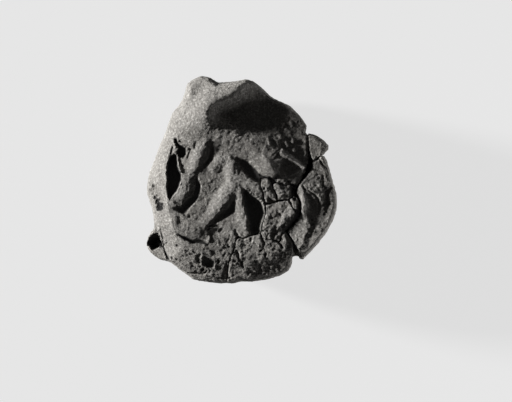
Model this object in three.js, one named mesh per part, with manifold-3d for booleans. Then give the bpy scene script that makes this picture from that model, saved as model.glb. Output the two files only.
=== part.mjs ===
// A clay bulla: a lump of clay that was pressed over a cord and stamped with a seal.
// It dried hard and cracked, and lies here as its fragments fit together.
// Millimetres, +Z up. It rests on its flat back with the sealed face up, +Y towards the
// thumb dent, and the origin is in the underside, below the middle of the outline.
import * as THREE from "three";
import { mergeVertices } from "three/addons/utils/BufferGeometryUtils.js";
import Module from "manifold-3d";

const wasm = await Module();
wasm.setup();

// The lump
const LUMP_WIDTH = 40.4;
const LUMP_LENGTH = 43.6;
const FIELD_LEVEL = 20; // underside to the flat that the seal pressed
const FACE_FALL = 10; // what a full share of the tables of heights stands for
const RIM_DROP = 7.5; // the flat down to the lump's widest line on the left
const RIM_DROP_RIGHT = 6;
const EDGE_ROUND = 1.6; // width of the face's rounded border on the left
const EDGE_ROUND_RIGHT = 0.8;
const FOOT_SHARE = 0.7; // flat underside against an oval as long and wide as the lump
const HILL_REACH = 1.9; // how far each place of the face's table shapes the clay

// The seal's impression and the wear of the face
const RIDGE_WIDTH = 2; // half the width of a full ridge
const RIDGE_HEIGHT = 1;
const CREST_REACH = 2.4; // how far a full crest's side slopes
const PIT_WIDTH = 1.2; // half the width of a full pit
const PIT_DEPTH = 1.1;
const DENT_DEPTH = 2; // the thumb's dent beside the impression
const DENT_SLOPE = 3.2; // width of its soft border
const HOLLOW_DEPTH = 1.5;
const HOLLOW_SLOPE = 0.9; // width of a full hollow's border
const SKIN_STEP = 0.25; // thickness of the pressed skin where it has flaked off
const BLEND = 0.15; // softness where strokes meet

// The broken mouth of the cord's channel
const MOUTH_DROP = 8; // its depth under the clay around it
const MOUTH_RUN = 2.4; // how far inwards from the rim it reaches that depth
const MOUTH_SLOPE = 0.4; // width of its border

// The two layers of clay and the cracks between the fragments
const LAYER_GAP = 0.3;
const LAYER_REACH = 3.2; // how far each place of the layer's table shapes its surface
const CRACK_GAP = 0.3;
const CHIP_DEPTH = 4.5; // below the impression's flat
const CRUMB_DEPTH = 3.4;
const CORD_BORE = 3; // channel of the cord between the two layers
const OVERRUN = 6; // how far a cutter runs past the clay
const FINEST_STEP = 0.01; // slivers thinner than this are smoothed away

// How finely the surfaces are divided
const FACE_CELLS = 76;
const BACK_CELLS = 36;
const SIDE_ROWS = 4;
const LAYER_CELLS = 18;
const BORE_SIDES = 12;
const BORE_STEPS = 20;
const RIM_CROWDING = 1.15; // cells get narrower towards the rim
const FAR_WEIGHT = 1e-3; // what a place of a table still weighs far from it
const CREST_CURVE = 1.3; // above one, a crest's sides are hollow rather than straight
const SHARPEST_CORNER_SHARE = 0.5; // keeps a grown corner from running out to a spike

const HALF_WIDTH = LUMP_WIDTH / 2;
const HALF_LENGTH = LUMP_LENGTH / 2;
const CUTTER_TOP = FIELD_LEVEL + FACE_FALL;

// The outline seen from above, in shares of half the width and half the length
const outlineShares = [
  [-0.42, 1.0], [-0.33, 0.99], [-0.24, 0.935], [-0.1, 0.945], [0.05, 0.97], [0.13, 0.95],
  [0.2, 0.9], [0.27, 0.83], [0.33, 0.785], [0.42, 0.75], [0.5, 0.715], [0.6, 0.63],
  [0.66, 0.56], [0.69, 0.5], [0.665, 0.455], [0.7, 0.445], [0.78, 0.43], [0.86, 0.38],
  [0.91, 0.33], [0.91, 0.29], [0.86, 0.25], [0.9, 0.17], [0.93, 0.07], [0.965, -0.04],
  [0.99, -0.13], [1.0, -0.24], [0.985, -0.33], [0.94, -0.42], [0.88, -0.52], [0.8, -0.62],
  [0.71, -0.71], [0.65, -0.77], [0.58, -0.76], [0.535, -0.77], [0.525, -0.83], [0.49, -0.88],
  [0.42, -0.92], [0.3, -0.955], [0.2, -0.975], [0.1, -0.985], [0, -0.98], [-0.08, -1.0],
  [-0.25, -1.0], [-0.4, -0.985], [-0.5, -0.965], [-0.56, -0.92], [-0.64, -0.87],
  [-0.72, -0.81], [-0.77, -0.785], [-0.85, -0.77], [-0.92, -0.72], [-0.98, -0.66],
  [-1.0, -0.6], [-0.96, -0.54], [-0.91, -0.5], [-0.9, -0.42], [-0.92, -0.3], [-0.955, -0.2],
  [-0.98, -0.12], [-0.975, -0.02], [-0.95, 0.08], [-0.9, 0.2], [-0.85, 0.32], [-0.79, 0.44],
  [-0.75, 0.55], [-0.72, 0.64], [-0.65, 0.71], [-0.6, 0.79], [-0.575, 0.87], [-0.56, 0.93],
  [-0.5, 0.965],
];

// Places of the face: across, along, and the height over the impression's flat as a
// share of FACE_FALL
const faceShares = [
  // left flank
  [-0.98, -0.1, -0.65], [-0.95, 0.1, -0.6], [-0.88, 0.3, -0.55], [-0.82, 0.45, -0.5],
  [-0.76, 0.62, -0.5], [-0.88, 0, -0.26], [-0.87, -0.2, -0.28], [-0.84, -0.4, -0.26],
  [-0.8, -0.58, -0.3], [-0.8, 0.2, -0.14], [-0.9, -0.42, -0.55], [-0.77, 0, 0.1],
  [-0.765, -0.2, 0.08], [-0.735, -0.38, 0.05], [-0.7, -0.5, 0.03], [-0.74, 0.28, 0.03],
  [-0.68, 0.45, 0.04],
  // lip beside the mouth of the cord's channel
  [-0.96, -0.6, -0.72], [-0.93, -0.68, -0.74], [-0.84, -0.73, -0.74], [-0.86, -0.6, -0.6],
  // hill at the upper left and the crest beside the thumb's dent
  [-0.66, 0.6, -0.1], [-0.52, 0.6, 0.12], [-0.38, 0.65, 0.3], [-0.52, 0.8, -0.05],
  [-0.3, 0.78, 0.28], [-0.42, 0.93, -0.3], [-0.15, 0.84, 0.24], [0, 0.91, 0.12],
  [-0.22, 0.93, -0.2],
  // shoulder and upper right slope
  [-0.52, 0.45, 0.1], [-0.3, 0.42, 0.09], [-0.1, 0.4, 0.07], [0.08, 0.36, 0.05],
  [0.24, 0.33, 0.01], [0.37, 0.29, -0.01], [0.48, 0.27, -0.05], [0.6, 0.26, -0.12],
  [0.665, 0.38, -0.22], [0.55, 0.4, -0.16], [0.42, 0.42, -0.1], [0.28, 0.43, -0.04],
  [0.02, 0.55, 0.07], [0.1, 0.62, 0.08], [0.1, 0.75, 0.08], [0.3, 0.57, -0.1],
  [0.43, 0.56, -0.15], [0.56, 0.54, -0.205], [0.1, 0.9, 0], [0.3, 0.7, -0.1],
  [0.28, 0.78, -0.12], [0.42, 0.68, -0.16], [0.52, 0.65, -0.2], [0.65, 0.5, -0.24],
  [-0.15, 0.62, 0.12], [0.66, 0.14, -0.1],
  // flat of the impression
  [-0.68, -0.18, 0.04], [-0.67, -0.33, 0.04], [-0.63, -0.45, 0.03], [-0.66, -0.03, 0.04],
  [-0.5, 0.05, 0.03], [-0.5, -0.35, 0.03], [-0.25, 0.2, 0.02], [-0.25, -0.2, 0.01],
  [0, -0.05, 0.01], [0, -0.4, 0], [0.2, -0.3, 0], [0.4, -0.1, -0.01], [0.45, -0.35, 0],
  [0.12, 0.19, 0.02], [0.21, 0.1, 0.02], [0.3, 0.16, 0.07], [0.2, 0.25, 0.06], [0.28, 0.07, 0.04],
  [0.4, 0.19, 0.05], [0.4, 0.07, 0], [0.58, 0.05, -0.06], [0.55, -0.2, -0.02],
  [0, 0.25, 0.03],
  // right fragment
  [0.72, 0.02, -0.09], [0.66, -0.27, -0.04], [0.65, -0.15, -0.05], [0.63, -0.4, -0.03],
  [0.66, -0.53, -0.08], [0.53, -0.54, -0.18], [0.6, -0.62, -0.14], [0.77, -0.13, -0.09],
  [0.79, -0.26, -0.08], [0.8, -0.42, -0.075], [0.84, 0.01, -0.14], [0.92, -0.04, -0.19],
  [0.95, -0.2, -0.15], [0.88, -0.33, -0.11], [0.87, -0.5, -0.1], [0.73, -0.62, -0.1],
  [0.8, -0.68, -0.11], [0.79, 0.17, -0.14], [0.88, 0.13, -0.215], [0.73, 0.4, -0.22],
  [0.78, 0.35, -0.23], [0.86, 0.32, -0.27], [0.6, -0.72, -0.2],
  // lower edge
  [-0.62, -0.64, -0.06], [-0.4, -0.68, -0.05], [-0.2, -0.65, -0.04], [0, -0.65, -0.04],
  [0.2, -0.65, -0.02], [0.4, -0.62, -0.02], [0.5, -0.66, -0.04], [-0.68, -0.78, -0.36],
  [-0.5, -0.82, -0.26], [-0.3, -0.82, -0.2], [-0.1, -0.78, -0.11], [0.07, -0.77, -0.06],
  [0.3, -0.72, -0.03], [0.47, -0.73, -0.05], [-0.5, -0.94, -0.5], [-0.25, -0.95, -0.4],
  [-0.04, -0.94, -0.35], [0.1, -0.88, -0.21], [0.2, -0.97, -0.42], [0.2, -0.87, -0.2],
  [0.32, -0.85, -0.18], [0.4, -0.92, -0.32], [0.5, -0.84, -0.17],
];

// Places of the surface between the back pad and the face layer, as faceShares gives them
const layerShares = [
  [-0.95, -0.6, -0.66], [-0.84, -0.7, -0.68], [-0.92, -0.35, -0.72], [-0.98, -0.05, -1.0],
  [-0.66, -0.86, -1.2], [-0.4, -0.93, -0.62], [-0.15, -0.97, -0.68], [0.1, -1.0, -0.84],
  [0.36, -0.96, -1.2], [0.65, -0.8, -1.25], [1.0, -0.3, -1.25], [0.9, 0.3, -1.25],
  [0.4, 0.8, -1.25], [0, 1.0, -1.2], [-0.45, 1.0, -1.2], [-0.8, 0.5, -1.2],
  [-0.5, -0.3, -0.95], [0.1, 0, -1.05], [0.5, 0.3, -1.1], [-0.2, 0.5, -1.1],
  [0.2, -0.6, -0.95],
];

// Ridges that the seal left standing: path, half width and height along it, in shares of
// the lump's halves, RIDGE_WIDTH and RIDGE_HEIGHT; a fullness under one rounds the top
const ridges = [
  { pathShares: [[-0.375, 0.36], [-0.405, 0.26], [-0.45, 0.17], [-0.51, 0.1]],
    widthShares: [0.4, 0.6, 0.65, 0.5], heightShares: [0.3, 0.45, 0.5, 0.4], fullness: 0.8 },
  { pathShares: [[-0.5, 0.06], [-0.55, -0.03], [-0.6, -0.12], [-0.67, -0.21]],
    widthShares: [0.5, 0.75, 0.75, 0.5], heightShares: [0.45, 0.65, 0.65, 0.4], fullness: 0.9 },
  { pathShares: [[-0.29, 0.13], [-0.22, 0.18], [-0.13, 0.19]],
    widthShares: [0.9, 1.1, 1], heightShares: [0.45, 0.6, 0.5], fullness: 1.5 },
  { pathShares: [[-0.1, 0.15], [-0.09, 0.02], [-0.07, -0.12]],
    widthShares: [1, 1.05, 0.9], heightShares: [0.6, 0.8, 0.7], fullness: 1.3 },
  { pathShares: [[-0.11, -0.05], [-0.2, -0.17], [-0.29, -0.29], [-0.38, -0.4]],
    widthShares: [1, 1.15, 1.05, 0.6], heightShares: [0.65, 0.7, 0.5, 0.1], fullness: 0.8 },
  { pathShares: [[-0.02, -0.1], [0.005, -0.22], [0.035, -0.35], [0.075, -0.48]],
    widthShares: [0.7, 0.8, 0.95, 0.9], heightShares: [0.65, 0.6, 0.5, 0.3], fullness: 0.6 },
  { pathShares: [[-0.09, 0.03], [0.01, -0.01], [0.1, -0.06], [0.2, -0.12]],
    widthShares: [1, 1.1, 1, 0.8], heightShares: [0.75, 0.65, 0.5, 0.3], fullness: 1 },
  { pathShares: [[0.565, -0.19], [0.54, -0.3], [0.475, -0.4], [0.39, -0.5]],
    widthShares: [0.5, 0.7, 0.75, 0.6], heightShares: [0.4, 0.65, 0.6, 0.35], fullness: 0.8 },
  { pathShares: [[0.61, -0.1], [0.64, -0.18], [0.655, -0.28], [0.665, -0.37]],
    widthShares: [0.35, 0.35, 0.35, 0.3], heightShares: [0.3, 0.45, 0.45, 0.35], fullness: 0.7 },
  { pathShares: [[0.68, -0.37], [0.71, -0.42], [0.735, -0.47]],
    widthShares: [0.3, 0.25, 0.2], heightShares: [0.4, 0.35, 0.15], fullness: 1 },
  { pathShares: [[0.8, -0.03], [0.83, -0.07], [0.86, -0.11]],
    widthShares: [0.3, 0.35, 0.25], heightShares: [0.2, 0.3, 0.2], fullness: 1 },
  { pathShares: [[0.5, 0.21], [0.56, 0.2], [0.61, 0.165], [0.655, 0.115]],
    widthShares: [0.25, 0.3, 0.3, 0.25], heightShares: [0.2, 0.4, 0.45, 0.3], fullness: 1 },
  { pathShares: [[-0.67, 0.2], [-0.65, 0.13], [-0.625, 0.07]],
    widthShares: [0.25, 0.3, 0.3], heightShares: [0.3, 0.6, 0.5], fullness: 1 },
  { pathShares: [[0.38, -0.07], [0.42, -0.11], [0.47, -0.12]],
    widthShares: [0.75, 0.85, 0.7], heightShares: [0.4, 0.5, 0.4], fullness: 1 },
  { pathShares: [[0.27, -0.08], [0.31, -0.15]],
    widthShares: [0.6, 0.6], heightShares: [0.3, 0.3], fullness: 1 },
  { pathShares: [[0.45, -0.53], [0.46, -0.6], [0.455, -0.68]],
    widthShares: [0.35, 0.4, 0.35], heightShares: [0.3, 0.45, 0.3], fullness: 1 },
  { pathShares: [[-0.275, -0.76], [-0.265, -0.81], [-0.275, -0.86]],
    widthShares: [0.3, 0.35, 0.3], heightShares: [0.3, 0.4, 0.3], fullness: 1 },
  { pathShares: [[0.475, 0.23], [0.52, 0.215]],
    widthShares: [0.4, 0.3], heightShares: [0.2, 0.2], fullness: 1 },
];

// Small pits and grooves, in shares of the lump's halves, PIT_WIDTH and PIT_DEPTH
const pits = [
  { pathShares: [[-0.345, 0.35], [-0.315, 0.26], [-0.34, 0.18], [-0.4, 0.135], [-0.47, 0.09]],
    widthShares: [0.45, 0.6, 0.6, 0.5, 0.3], heightShares: [0.35, 0.6, 0.65, 0.5, 0.3], fullness: 0.6 },
  { pathShares: [[-0.48, 0.02], [-0.46, -0.07], [-0.49, -0.17], [-0.56, -0.24], [-0.6, -0.29],
    [-0.68, -0.27]],
    widthShares: [0.4, 0.7, 0.8, 0.9, 0.9, 0.4], heightShares: [0.4, 0.8, 0.85, 1.1, 1, 0.4],
    fullness: 0.6 },
  { pathShares: [[-0.075, -0.22], [-0.1, -0.29], [-0.18, -0.33], [-0.27, -0.4], [-0.35, -0.45]],
    widthShares: [0.5, 0.85, 0.8, 0.6, 0.4], heightShares: [0.6, 0.8, 0.7, 0.5, 0.3], fullness: 0.7 },
  { pathShares: [[-0.03, 0.19], [0.05, 0.14], [0.12, 0.07], [0.19, 0.01], [0.24, -0.02]],
    widthShares: [0.6, 1.1, 1.1, 0.9, 0.5], heightShares: [0.5, 0.85, 0.9, 0.75, 0.4], fullness: 0.7 },
  { pathShares: [[0.93, -0.05], [0.9, -0.14], [0.9, -0.22], [0.885, -0.3]],
    widthShares: [0.4, 0.5, 0.5, 0.4], heightShares: [0.4, 0.6, 0.6, 0.4], fullness: 0.8 },
  { pathShares: [[-0.37, -0.785], [-0.33, -0.81]],
    widthShares: [0.8, 1], heightShares: [0.8, 1.1], fullness: 0.5 },
  { pathShares: [[-0.445, -0.745], [-0.435, -0.78]],
    widthShares: [0.45, 0.45], heightShares: [0.5, 0.5], fullness: 0.7 },
  { pathShares: [[0.59, -0.2], [0.605, -0.28], [0.58, -0.36], [0.51, -0.45], [0.45, -0.49]],
    widthShares: [0.4, 0.5, 0.5, 0.5, 0.4], heightShares: [0.4, 0.8, 0.8, 0.7, 0.5], fullness: 0.7 },
  { pathShares: [[0.36, -0.52], [0.34, -0.55]],
    widthShares: [0.6, 0.5], heightShares: [0.5, 0.4], fullness: 0.7 },
  { pathShares: [[0.3, 0.005], [0.35, -0.01], [0.375, 0.03], [0.385, 0.06]],
    widthShares: [0.35, 0.5, 0.35, 0.2], heightShares: [0.6, 0.9, 0.5, 0.2], fullness: 0.7 },
  { pathShares: [[0.215, -0.54], [0.228, -0.6], [0.22, -0.66]],
    widthShares: [0.3, 0.45, 0.3], heightShares: [0.4, 0.6, 0.3], fullness: 0.8 },
  { pathShares: [[-0.055, -0.49], [-0.03, -0.56]],
    widthShares: [0.3, 0.45], heightShares: [0.4, 0.5], fullness: 0.8 },
  { pathShares: [[-0.15, -0.79], [-0.155, -0.86], [-0.15, -0.93]],
    widthShares: [0.3, 0.5, 0.4], heightShares: [0.4, 0.6, 0.5], fullness: 0.8 },
  { pathShares: [[-0.22, -0.14], [-0.29, -0.24], [-0.35, -0.33]],
    widthShares: [0.4, 0.45, 0.3], heightShares: [0.1, 0.14, 0.1], fullness: 1 },
  { pathShares: [[-0.2, 0.085], [-0.23, 0.07]],
    widthShares: [0.4, 0.3], heightShares: [0.35, 0.25], fullness: 1 },
];

// Crests with unlike sides: path and height along it, and the reach to its left and to its
// right in shares of CREST_REACH
const crests = [
  { pathShares: [[-0.68, -0.53], [-0.72, -0.42], [-0.745, -0.3], [-0.768, -0.16], [-0.778, 0],
    [-0.78, 0.14], [-0.745, 0.24], [-0.7, 0.36]],
    leftShare: 1.1, rightShare: 1, heightShares: [0.3, 0.4, 0.45, 0.7, 1, 0.95, 0.6, 0.3] },
  { pathShares: [[0.61, -0.67], [0.65, -0.6], [0.685, -0.5], [0.67, -0.39]],
    leftShare: 1.6, rightShare: 0.5, heightShares: [0.2, 0.3, 0.35, 0.2] },
  { pathShares: [[0.8, -0.185], [0.75, -0.13], [0.68, -0.105]],
    leftShare: 0.5, rightShare: 1.2, heightShares: [0.3, 0.3, 0.2] },
  { pathShares: [[0.67, 0.08], [0.672, 0.25], [0.665, 0.4]],
    leftShare: 0.6, rightShare: 0.2, heightShares: [0.25, 0.2, 0.1] },
  { pathShares: [[-0.12, -0.92], [-0.11, -0.84], [-0.13, -0.77]],
    leftShare: 0.2, rightShare: 0.9, heightShares: [0.15, 0.2, 0.15] },
  { pathShares: [[0.1, -0.8], [0.2, -0.755], [0.3, -0.735], [0.4, -0.705], [0.52, -0.695]],
    leftShare: 1, rightShare: 1, heightShares: [0.1, 0.25, 0.3, 0.3, 0.2] },
];

// Hollows with a floor: depth, width of the border and edge, in shares of HOLLOW_DEPTH,
// HOLLOW_SLOPE and the lump's halves
const hollows = [
  { depthShare: 1.2, slopeShare: 0.5, edgeShares: [[-0.775, 0.17], [-0.74, 0.22], [-0.69, 0.25],
    [-0.66, 0.23], [-0.65, 0.13], [-0.615, 0.06], [-0.61, 0], [-0.635, -0.06], [-0.665, -0.12],
    [-0.74, -0.215], [-0.77, -0.15], [-0.778, 0]] },
  { depthShare: 1, slopeShare: 0.5, edgeShares: [[-0.695, 0.39], [-0.655, 0.405],
    [-0.64, 0.345], [-0.6, 0.335], [-0.56, 0.31], [-0.555, 0.25], [-0.585, 0.205], [-0.64, 0.2],
    [-0.67, 0.24], [-0.66, 0.3], [-0.69, 0.34]] },
  { depthShare: 1, slopeShare: 1, edgeShares: [[0, -0.1], [0.06, -0.09], [0.1, -0.13],
    [0.16, -0.17], [0.21, -0.2], [0.24, -0.25], [0.262, -0.32], [0.245, -0.37], [0.225, -0.41],
    [0.21, -0.46], [0.21, -0.51], [0.15, -0.54], [0.09, -0.54], [0.075, -0.45], [0.04, -0.3],
    [0.01, -0.18]] },
  { depthShare: 0.35, slopeShare: 1, edgeShares: [[0.36, 0.16], [0.42, 0.2], [0.5, 0.195],
    [0.57, 0.175], [0.64, 0.12], [0.645, 0.08], [0.6, 0.03], [0.52, 0.02], [0.42, 0.03],
    [0.39, 0.07]] },
  { depthShare: 0.2, slopeShare: 0.8, edgeShares: [[0.66, -0.1], [0.7, -0.1], [0.76, -0.14],
    [0.8, -0.19], [0.82, -0.24], [0.81, -0.3], [0.8, -0.36], [0.74, -0.38], [0.7, -0.33],
    [0.7, -0.25], [0.68, -0.17]] },
  { depthShare: 0.8, slopeShare: 0.6, edgeShares: [[0.51, -0.04], [0.58, -0.03], [0.6, -0.1],
    [0.57, -0.17], [0.51, -0.165]] },
  { depthShare: 0.35, slopeShare: 0.6, edgeShares: [[0.27, -0.14], [0.36, -0.2], [0.38, -0.24],
    [0.33, -0.245], [0.26, -0.21]] },
  { depthShare: 0.3, slopeShare: 1, edgeShares: [[0.83, 0.05], [0.87, 0.06], [0.89, -0.02],
    [0.87, -0.09], [0.84, -0.05]] },
];

// The mouth of the cord's channel at the lower left, seen from above
const mouthShares = [
  [-0.91, -0.505], [-0.86, -0.5], [-0.84, -0.54], [-0.822, -0.6], [-0.812, -0.65],
  [-0.86, -0.655], [-0.9, -0.68], [-0.935, -0.68], [-0.96, -0.65], [-0.99, -0.645],
  [-1.1, -0.66], [-1.1, -0.45], [-0.95, -0.46],
];

// The thumb's dent, open towards the upper right
const dentShares = [
  [-0.36, 0.66], [-0.3, 0.745], [-0.24, 0.78], [-0.13, 0.83], [-0.02, 0.87], [0, 0.93],
  [0.02, 1.2], [0.28, 1.2], [0.28, 0.75], [0.28, 0.58], [0.22, 0.45], [0.1, 0.38], [0.02, 0.38],
  [-0.05, 0.41], [-0.16, 0.46], [-0.28, 0.5], [-0.35, 0.57],
];

// Where the pressed skin has flaked off the lower part of the face
const flakedShares = [
  [-0.73, -0.47], [-0.68, -0.52], [-0.6, -0.55], [-0.5, -0.58], [-0.4, -0.61], [-0.36, -0.63],
  [-0.32, -0.6], [-0.3, -0.52], [-0.31, -0.46], [-0.2, -0.47], [-0.1, -0.5], [0, -0.55],
  [0.1, -0.6], [0.3, -0.7], [0.52, -0.73], [1.2, -0.8], [1.2, -1.2], [-1.2, -1.2], [-1.2, -0.4],
];

// The two walls of the main crack, from the notch in the outline down to its lower end
const fragmentWallShares = [
  [0.715, 0.6], [0.703, 0.44], [0.708, 0.36], [0.722, 0.27], [0.748, 0.18], [0.752, 0.105],
  [0.69, 0.035], [0.65, 0], [0.615, -0.045], [0.597, -0.085], [0.578, -0.125],
  [0.603, -0.165], [0.627, -0.21], [0.63, -0.345], [0.565, -0.425], [0.49, -0.503],
  [0.55, -0.595], [0.603, -0.68], [0.61, -0.77], [0.61, -1.2],
];
const lumpWallShares = [
  [0.69, 0.6], [0.672, 0.46], [0.688, 0.39], [0.68, 0.3], [0.683, 0.17], [0.645, 0.06],
  [0.612, 0], [0.585, -0.045], [0.572, -0.085], [0.55, -0.13], [0.58, -0.175],
  [0.6, -0.215], [0.6, -0.335], [0.54, -0.41], [0.463, -0.495], [0.525, -0.6],
  [0.54, -0.68], [0.53, -0.77], [0.53, -1.2],
];
const rightOfAllShares = [[1.3, -1.2], [1.3, 0.6]];

// Outlines of the smaller fragments; where one runs past a crack it takes nothing, since
// the clay beyond already belongs to its neighbour
const cornerCapShares = [
  [0.6, 0.7], [1.2, 0.7], [1.2, 0.25], [0.87, 0.245], [0.83, 0.235], [0.795, 0.212],
  [0.76, 0.185], [0.6, 0.18],
];
const lowerBlockShares = [
  [-0.035, -0.555], [0.03, -0.575], [0.085, -0.55], [0.15, -0.535], [0.2, -0.52],
  [0.215, -0.565], [0.26, -0.578], [0.33, -0.585], [0.385, -0.607], [0.412, -0.6],
  [0.425, -0.55], [0.447, -0.512], [0.475, -0.49], [0.6, -0.62], [0.6, -1.3],
  [-0.135, -1.3], [-0.135, -0.93], [-0.13, -0.86], [-0.115, -0.79], [-0.085, -0.72],
  [-0.055, -0.65],
];
const limbChipShares = [
  [0.262, -0.24], [0.31, -0.236], [0.37, -0.218], [0.45, -0.203], [0.49, -0.2],
  [0.505, -0.23], [0.53, -0.268], [0.57, -0.32], [0.62, -0.33], [0.62, -0.45],
  [0.5, -0.6], [0.25, -0.62], [0.215, -0.545], [0.215, -0.5], [0.237, -0.4], [0.262, -0.33],
];
const rightPebbleShares = [
  [0.335, -0.045], [0.37, -0.035], [0.41, -0.053], [0.46, -0.062], [0.505, -0.052],
  [0.525, -0.085], [0.55, -0.125], [0.53, -0.165], [0.49, -0.185], [0.44, -0.19],
  [0.385, -0.195], [0.38, -0.15], [0.352, -0.1],
];
const leftPebbleShares = [
  [0.215, 0.005], [0.26, 0.002], [0.3, -0.015], [0.325, -0.04], [0.335, -0.1],
  [0.362, -0.15], [0.37, -0.2], [0.31, -0.218], [0.262, -0.222], [0.242, -0.18],
  [0.24, -0.12], [0.21, -0.06],
];
const junctionCrumbShares = [
  [0.512, -0.178], [0.55, -0.163], [0.6, -0.19], [0.62, -0.32], [0.57, -0.3],
  [0.535, -0.248], [0.512, -0.213],
];

// The cord's channel: a mouth beside the lip, then between the layers to the far side
const channelShares = [
  [-0.95, -0.56, -0.3], [-0.905, -0.59, -0.62], [-0.85, -0.58, -0.86], [-0.6, -0.42, -0.98],
  [0, -0.05, -1.08], [0.6, 0.25, -1.12], [0.95, 0.45, -1.14], [1.25, 0.62, -1.15],
];

// Finishes
const skinClay = new THREE.MeshStandardMaterial({ color: 0xa8a198, roughness: 0.94, metalness: 0 });
const coreClay = new THREE.MeshStandardMaterial({ color: 0x9f988e, roughness: 0.97, metalness: 0 });
const padClay = new THREE.MeshStandardMaterial({ color: 0x9b948a, roughness: 0.96, metalness: 0 });

function point(share) {
  return new THREE.Vector2(share[0] * HALF_WIDTH, share[1] * HALF_LENGTH);
}

function level(share) {
  return FIELD_LEVEL + share * FACE_FALL;
}

function smoothStep(from, to, value) {
  return THREE.MathUtils.smoothstep(value, from, to);
}

// The larger of two heights, with a soft seam where they are alike
function softLarger(a, b) {
  const mix = THREE.MathUtils.clamp(0.5 + (0.5 * (a - b)) / BLEND, 0, 1);
  return b + (a - b) * mix + BLEND * mix * (1 - mix);
}

// Distance from a place to a path, how far along the path its nearest point lies, and
// whether the place lies to the path's left
function nearest(path, place) {
  const line = new THREE.Vector2();
  const away = new THREE.Vector2();
  let best = { distance: Infinity, along: 0, left: false };
  for (let i = 0; i + 1 < path.length; i++) {
    line.subVectors(path[i + 1], path[i]);
    away.subVectors(place, path[i]);
    const left = line.cross(away) > 0;
    const t = THREE.MathUtils.clamp(away.dot(line) / line.lengthSq(), 0, 1);
    const distance = away.addScaledVector(line, -t).length();
    if (distance < best.distance) best = { distance, along: (i + t) / (path.length - 1), left };
  }
  return best;
}

// A value from a list that is spread evenly along a path
function spread(values, along) {
  const step = along * (values.length - 1);
  const i = Math.min(Math.floor(step), values.length - 2);
  return THREE.MathUtils.lerp(values[i], values[i + 1], step - i);
}

function isInside(edge, place) {
  let inside = false;
  edge.forEach((a, i) => {
    const b = edge[(i + 1) % edge.length];
    const crosses = a.y > place.y !== b.y > place.y;
    if (crosses && place.x < a.x + ((b.x - a.x) * (place.y - a.y)) / (b.y - a.y)) inside = !inside;
  });
  return inside;
}

// How far inside an outline a place lies, and nothing outside it
function depthInside(edge, place) {
  return isInside(edge, place) ? nearest([...edge, edge[0]], place).distance : 0;
}

// A height blended from a table of places
function blended(places, reach, x, y) {
  let sum = 0;
  let weights = 0;
  for (const place of places) {
    const away = ((x - place.x) ** 2 + (y - place.y) ** 2) / reach ** 2;
    const weight = Math.exp(-away / 2) + FAR_WEIGHT / (1 + away) ** 2;
    sum += weight * place.z;
    weights += weight;
  }
  return sum / weights;
}

// The height that a stroke adds at a place, round across its width
function strokeHeight(stroke, place) {
  const { distance, along } = nearest(stroke.path, place);
  const across = distance / spread(stroke.widths, along);
  if (across >= 1) return 0;
  return spread(stroke.heights, along) * (1 - across ** 2) ** stroke.fullness;
}

// The height that a crest adds at a place, falling from its sharp line to each side
function crestHeight(crest, place) {
  const { distance, along, left } = nearest(crest.path, place);
  const reach = left ? crest.leftReach : crest.rightReach;
  return spread(crest.heights, along) * Math.max(1 - distance / reach, 0) ** CREST_CURVE;
}

function strokesOf(table, width, height) {
  return table.map(({ pathShares, widthShares, heightShares, fullness }) => ({
    path: pathShares.map(point),
    widths: widthShares.map((share) => share * width),
    heights: heightShares.map((share) => share * height),
    fullness,
  }));
}

function placesOf(shares) {
  return shares.map((share) => new THREE.Vector3(...point(share), level(share[2])));
}

const outline = outlineShares.map(point);
const facePlaces = placesOf(faceShares);
const layerPlaces = placesOf(layerShares);
const ridgeStrokes = strokesOf(ridges, RIDGE_WIDTH, RIDGE_HEIGHT);
const pitStrokes = strokesOf(pits, PIT_WIDTH, PIT_DEPTH);
const crestLines = crests.map(({ pathShares, leftShare, rightShare, heightShares }) => ({
  path: pathShares.map(point),
  leftReach: leftShare * CREST_REACH,
  rightReach: rightShare * CREST_REACH,
  heights: heightShares.map((share) => share * RIDGE_HEIGHT),
}));
const mouth = mouthShares.map(point);
const dent = dentShares.map(point);
const flaked = flakedShares.map(point);
const hollowEdges = hollows.map((hollow) => hollow.edgeShares.map(point));

// A length that changes from the lump's left side to its right
function fromLeftToRight(left, right, x) {
  return THREE.MathUtils.lerp(left, right, smoothStep(-HALF_WIDTH, HALF_WIDTH, x));
}

function widestLevel(x) {
  return FIELD_LEVEL - fromLeftToRight(RIM_DROP, RIM_DROP_RIGHT, x);
}

// The height of the sealed face over any place inside the outline
function faceLevel(x, y) {
  const place = new THREE.Vector2(x, y);
  let height = blended(facePlaces, HILL_REACH, x, y);
  height += crestLines.reduce((total, crest) => total + crestHeight(crest, place), 0);
  height -= DENT_DEPTH * smoothStep(0, DENT_SLOPE, depthInside(dent, place));
  height -= SKIN_STEP * smoothStep(0, SKIN_STEP, depthInside(flaked, place));
  hollows.forEach((hollow, i) => {
    const slope = HOLLOW_SLOPE * hollow.slopeShare;
    const down = smoothStep(0, slope, depthInside(hollowEdges[i], place));
    height -= HOLLOW_DEPTH * hollow.depthShare * down;
  });
  height += ridgeStrokes.reduce((most, stroke) => softLarger(most, strokeHeight(stroke, place)), 0);
  height -= pitStrokes.reduce((most, stroke) => softLarger(most, strokeHeight(stroke, place)), 0);
  const fromRim = depthInside(outline, place);
  const rim = Math.min(fromRim / fromLeftToRight(EDGE_ROUND, EDGE_ROUND_RIGHT, x), 1);
  height = THREE.MathUtils.lerp(widestLevel(x), height, Math.sqrt(1 - (1 - rim) ** 2));
  const opening = smoothStep(0, MOUTH_SLOPE, depthInside(mouth, place));
  return height - MOUTH_DROP * opening * Math.min(fromRim / MOUTH_RUN, 1);
}

function layerLevel(x, y) {
  return blended(layerPlaces, LAYER_REACH, x, y);
}

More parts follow.
